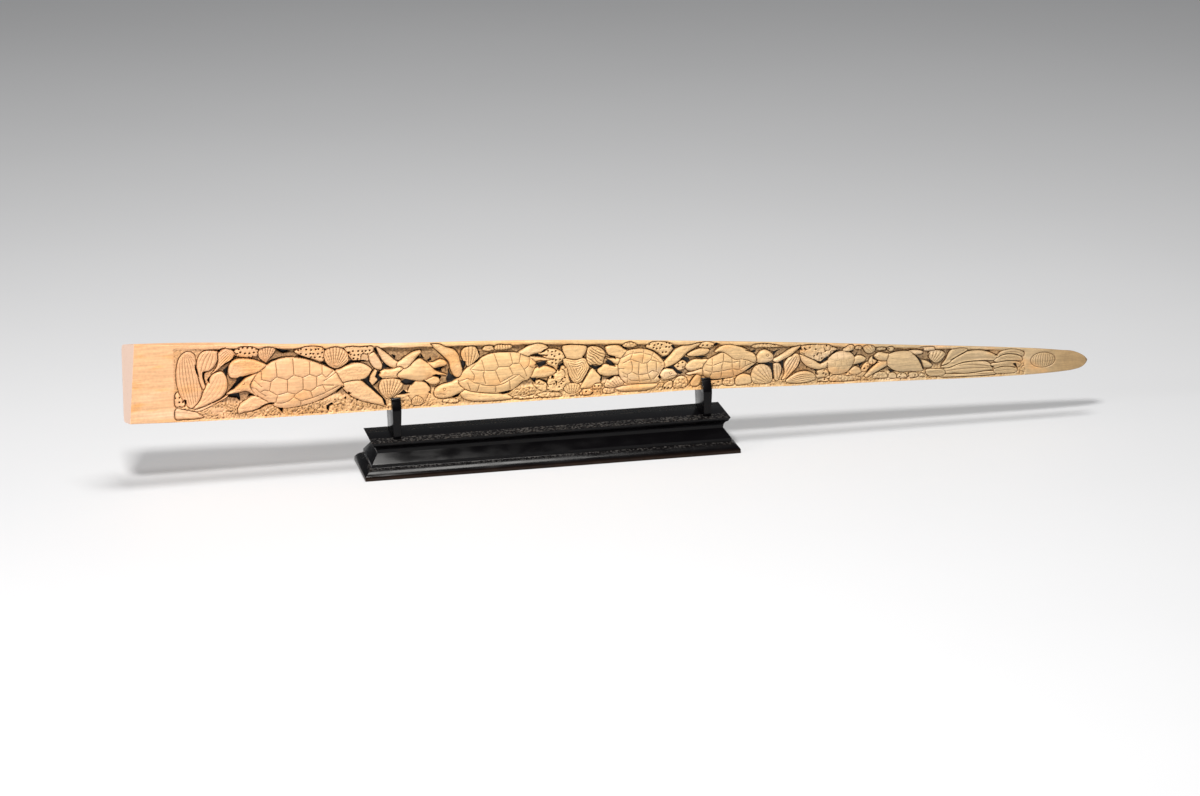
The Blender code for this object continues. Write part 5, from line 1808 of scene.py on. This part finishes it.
    def store(
        self, mesh: bpy.types.Mesh, stored: dict[str, Array], first: int, last: int, around: int
    ) -> None:
        """Keep values of the face on the mesh's points, and zero on its back."""
        for name, values in stored.items():
            whole = np.zeros((last - first, around), np.float32)
            whole[:, : values.shape[1]] = values[first:last]
            mesh.attributes.new(name, "FLOAT", "POINT").data.foreach_set("value", whole.ravel())


class Levels:
    """Shapes a block by cutting it at set heights and drawing each level in or out."""

    def __init__(self, name: str, size: tuple[float, float, float], base: float) -> None:
        """Add the block, with its middle over the origin.

        Args:
            name: its name.
            size: length, depth and height in metres.
            base: height of its underside in metres.
        """
        bpy.ops.object.select_all(action="DESELECT")
        bpy.ops.mesh.primitive_cube_add(size=1.0, location=(0, 0, base + size[2] / 2))
        self.obj = bpy.context.active_object
        self.obj.name = name
        self.obj.scale = size
        bpy.ops.object.transform_apply(location=True, rotation=True, scale=True)
        self.size = size

    def cut(self, height: float) -> None:
        """Cut round the block at a height in metres."""
        bpy.ops.object.mode_set(mode="EDIT")
        bpy.ops.mesh.select_all(action="SELECT")
        bpy.ops.mesh.bisect(plane_co=(0, 0, height), plane_no=(0, 0, 1))
        bpy.ops.object.mode_set(mode="OBJECT")

    def draw(self, height: float, length: float, depth: float) -> None:
        """Set the length and depth of the block at a height, in metres."""
        bpy.ops.object.mode_set(mode="EDIT")
        bpy.ops.mesh.select_all(action="DESELECT")
        mesh = bmesh.from_edit_mesh(self.obj.data)
        for vert in mesh.verts:
            vert.select = abs(vert.co.z - height) < 1e-6
        mesh.select_flush_mode()
        bmesh.update_edit_mesh(self.obj.data)
        value = (length / self.size[0], depth / self.size[1], 1.0)
        bpy.ops.transform.resize(value=value, center_override=(0, 0, height))
        bpy.ops.object.mode_set(mode="OBJECT")

    def soften(self, width: float, sharp: float) -> None:
        """Round the edges.

        Args:
            width: how much of each edge goes, in millimetres.
            sharp: edges that turn by more than this many degrees are rounded.
        """
        bevel = self.obj.modifiers.new("worn_edges", "BEVEL")
        bevel.width = width * MM
        bevel.segments = 3
        bevel.limit_method = "ANGLE"
        bevel.angle_limit = math.radians(sharp)
        apply_modifiers(self.obj)


@dataclass
class StandBase:
    """The moulded base, the same on its four sides, in millimetres.

    The top plate overhangs a cove, which stops `cove_lip` short of the plate's edge.  `ledge` is the small
    height that keeps the two edges of a level face apart.
    """

    length: float = 389.0
    depth: float = 69.8
    foot_height: float = 4.0
    ovolo_top: float = 10.8
    ovolo_bulge: float = 0.4
    step_inset: float = 8.0
    step_top: float = 14.4
    waist_inset: float = 15.0
    cove_start: float = 24.0
    plate_inset: float = 8.6
    plate_underside: float = 32.0
    top: float = 36.6
    cove_lip: float = 1.5
    ledge: float = 0.03
    edge_round: float = 0.45
    steps: int = 12

    def profile(self) -> list[Point]:
        """Inset and height of each level, from the ground to the top."""
        levels = [(0.0, 0.0), (0.0, self.foot_height)]
        for i in range(1, self.steps + 1):
            share, angle = i / self.steps, math.pi / 2 * i / self.steps
            inset = share + (1 - math.cos(angle) - share) * self.ovolo_bulge
            rise = share + (math.sin(angle) - share) * self.ovolo_bulge
            height = self.foot_height + (self.ovolo_top - self.foot_height) * rise
            levels.append((self.step_inset * inset, height))
        levels += [(self.step_inset, self.step_top), (self.waist_inset, self.step_top + self.ledge)]
        flare = self.waist_inset - self.plate_inset - self.cove_lip
        for i in range(self.steps + 1):
            angle = math.pi / 2 * i / self.steps
            rise = (self.plate_underside - self.cove_start) * math.sin(angle)
            levels.append((self.waist_inset - flare * (1 - math.cos(angle)), self.cove_start + rise))
        levels += [(self.plate_inset, self.plate_underside + self.ledge), (self.plate_inset, self.top)]
        return levels

    def build(self, lacquer: bpy.types.Material) -> bpy.types.Object:
        """Shape the base from a block and soften its edges.

        Args:
            lacquer: its finish.

        Returns:
            The piece.
        """
        size = (self.length * MM, self.depth * MM, self.top * MM)
        block = Levels("stand_moulding", size, 0.0)
        levels = self.profile()
        for _, height in levels[1:-1]:
            block.cut(height * MM)
        for inset, height in levels:
            block.draw(height * MM, (self.length - 2 * inset) * MM, (self.depth - 2 * inset) * MM)
        block.soften(self.edge_round, 40)
        bpy.ops.object.shade_smooth_by_angle(angle=math.radians(35))
        settle(block.obj, lacquer, "stand_base")
        return block.obj


@dataclass
class Fork:
    """A notched fork cut from board, in millimetres."""

    name: str
    node: str
    centre: float
    slot_half: float
    slot_bottom: float
    floor: float = 36.9
    foot_depth: float = 36.5
    head_depth: float = 38.6
    head_rise: float = 14.0
    ear: float = 4.8
    foot_thickness: float = 7.4
    ear_thickness: float = 9.8
    edge_round: float = 0.4
    steps: int = 9

    def widths(self) -> list[Point]:
        """Half depth and height of each level, from the foot to the ear tips."""
        head, foot = self.head_depth / 2, self.foot_depth / 2
        arm = head - self.slot_half
        levels = []
        for i in range(self.steps + 1):
            share = i / self.steps
            half = foot + (head - foot) * (1 - math.cos(math.pi * share)) / 2
            levels.append((half, self.floor + (self.slot_bottom - self.floor) * share))
        rise = self.head_rise - self.ear / 2
        for i in range(1, self.steps + 1):
            share = i / self.steps
            half = self.slot_half + self.ear + (arm - self.ear) * math.sin(math.pi / 2 * (1 - share))
            levels.append((half, self.slot_bottom + rise * share))
        levels.append((self.slot_half + self.ear, self.slot_bottom + self.head_rise))
        return levels

    def build(self, lacquer: bpy.types.Material) -> bpy.types.Object:
        """Shape the fork from a block, cut its slot, round its ears and soften its edges.

        Args:
            lacquer: its finish.

        Returns:
            The piece.
        """
        levels = self.widths()
        tip = levels[-1][1]
        depth = 2 * max(half for half, _ in levels)
        size = (self.ear_thickness * MM, depth * MM, (tip - self.floor) * MM)
        block = Levels(self.name, size, self.floor * MM)
        for _, height in levels[1:-1]:
            block.cut(height * MM)
        for half, height in levels:
            rise = (height - self.floor) / (tip - self.floor)
            board = self.foot_thickness + (self.ear_thickness - self.foot_thickness) * rise
            block.draw(height * MM, board * MM, 2 * half * MM)
        self.slot(block.obj, tip)
        self.round_ears(block.obj, tip)
        block.soften(self.edge_round, 50)
        block.obj.data.transform(Matrix.Translation((self.centre * MM, 0, 0)))
        bpy.ops.object.shade_smooth_by_angle(angle=math.radians(40))
        settle(block.obj, lacquer, self.node)
        return block.obj

    def slot(self, obj: bpy.types.Object, tip: float) -> None:
        """Cut the slot down from between the ears."""
        bpy.ops.object.select_all(action="DESELECT")
        tall = tip - self.slot_bottom + 5
        bpy.ops.mesh.primitive_cube_add(size=1.0, location=(0, 0, (self.slot_bottom + tall / 2) * MM))
        cutter = bpy.context.active_object
        cutter.scale = (30 * MM, 2 * self.slot_half * MM, tall * MM)
        bpy.ops.object.transform_apply(location=True, rotation=True, scale=True)
        cut = obj.modifiers.new("slot", "BOOLEAN")
        cut.operation = "DIFFERENCE"
        cut.solver = "EXACT"
        cut.object = cutter
        apply_modifiers(obj)
        bpy.data.objects.remove(cutter)

    def round_ears(self, obj: bpy.types.Object, tip: float) -> None:
        """Round the tips of the ears over."""
        only(obj)
        bpy.ops.object.mode_set(mode="EDIT")
        bpy.ops.mesh.select_all(action="DESELECT")
        bpy.ops.mesh.select_mode(type="EDGE")
        mesh = bmesh.from_edit_mesh(obj.data)
        for edge in mesh.edges:
            ends = [vert.co for vert in edge.verts]
            high = all(abs(co.z - tip * MM) < 1e-6 for co in ends)
            edge.select_set(high and abs(ends[0].y - ends[1].y) < 1e-6)
        bmesh.update_edit_mesh(obj.data)
        bpy.ops.mesh.bevel(offset=self.ear * 0.46 * MM, segments=6, affect="EDGES")
        bpy.ops.mesh.select_mode(type="VERT")
        bpy.ops.object.mode_set(mode="OBJECT")


# ==================================================================== surroundings
@dataclass(frozen=True)
class Lamp:
    """A soft rectangular lamp: its place and aim in metres, its two sides, its power and its colour."""

    name: str
    place: tuple[float, float, float]
    aim: tuple[float, float, float]
    size: tuple[float, float]
    watts: float
    tint: tuple[float, float, float]

    def hang(self) -> None:
        """Hang it, facing its aim."""
        bpy.ops.object.light_add(type="AREA", location=self.place)
        lamp = bpy.context.active_object
        lamp.name = self.name
        lamp.data.shape = "RECTANGLE"
        lamp.data.size, lamp.data.size_y = self.size
        lamp.data.energy = self.watts
        lamp.data.color = self.tint
        lamp.rotation_euler = (Vector(self.aim) - Vector(self.place)).to_track_quat("-Z", "Y").to_euler()


@dataclass
class Studio:
    """A pale floor, soft lamps above, in front and at the butt end, and the camera."""

    eye: tuple[float, float, float] = (-0.78849, -3.78647, 1.32487)
    look: tuple[float, float, float] = (0.206638, 0.927922, -0.310260)
    roll: float = -0.23838
    lens: float = 120.0
    lamps: tuple[Lamp, ...] = (
        Lamp("overhead", (0.15, -0.42, 2.6), (0, 0, 0.1), (0.9, 0.8), 46.0, (1.0, 0.98, 0.95)),
        Lamp("high_key", (-0.7, -1.7, 2.5), (-0.05, 0, 0.1), (0.55, 0.42), 91.0, (1.0, 0.98, 0.95)),
        Lamp("end_light", (-2.4, -0.9, 0.9), (-0.4, 0, 0.1), (0.5, 0.5), 14.0, (1.0, 0.97, 0.96)),
    )
    surround: tuple[float, float, float, float] = (0.75, 0.77, 0.80, 1)
    surround_strength: float = 0.12

    def floor(self) -> None:
        """Lay the floor."""
        bpy.ops.object.select_all(action="DESELECT")
        bpy.ops.mesh.primitive_plane_add(size=30.0, location=(0, 0, 0))
        floor = bpy.context.active_object
        floor.name = "pale_floor"
        floor.data.materials.append(PaperFinish().material())

    def lights(self) -> None:
        """Hang the lamps and set the surrounding light."""
        for lamp in self.lamps:
            lamp.hang()
        world = bpy.data.worlds.new("soft_surround")
        bpy.context.scene.world = world
        world.use_nodes = True
        world.node_tree.nodes["Background"].inputs[0].default_value = self.surround
        world.node_tree.nodes["Background"].inputs[1].default_value = self.surround_strength

    def camera(self) -> None:
        """Set up the camera, level but for a slight roll."""
        look = Vector(self.look).normalized()
        right = look.cross(Vector((0, 0, 1))).normalized()
        over = right.cross(look)
        turn = math.radians(self.roll)
        cos, sin = math.cos(turn), math.sin(turn)
        right, over = right * cos + over * sin, over * cos - right * sin
        pose = Matrix((right, over, -look)).transposed().to_4x4()
        pose.translation = Vector(self.eye)
        bpy.ops.object.camera_add()
        camera = bpy.context.active_object
        camera.matrix_world = pose
        camera.data.lens = self.lens
        camera.data.sensor_width = 36.0
        bpy.context.scene.camera = camera

    def build(self) -> None:
        """Make the surroundings."""
        self.floor()
        self.lights()
        self.camera()
        bpy.context.scene.view_settings.view_transform = "Standard"


def main() -> None:
    """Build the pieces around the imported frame."""
    logging.basicConfig(level=logging.INFO, format="%(message)s")
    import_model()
    Studio().build()
    lacquer = LacquerFinish().material()
    bill = CarvedBill()
    StandBase().build(lacquer)
    form = bill.form
    for name, node, centre in FORKS:
        along = np.array([centre - form.butt_x])
        half = float(form.thick(along)[0]) / 2 + FORK_GAP
        bottom = float(form.low(along)[0]) - FORK_GAP
        Fork(name, node, centre, half, bottom).build(lacquer)
    bill.build()


if __name__ == "__main__":
    main()
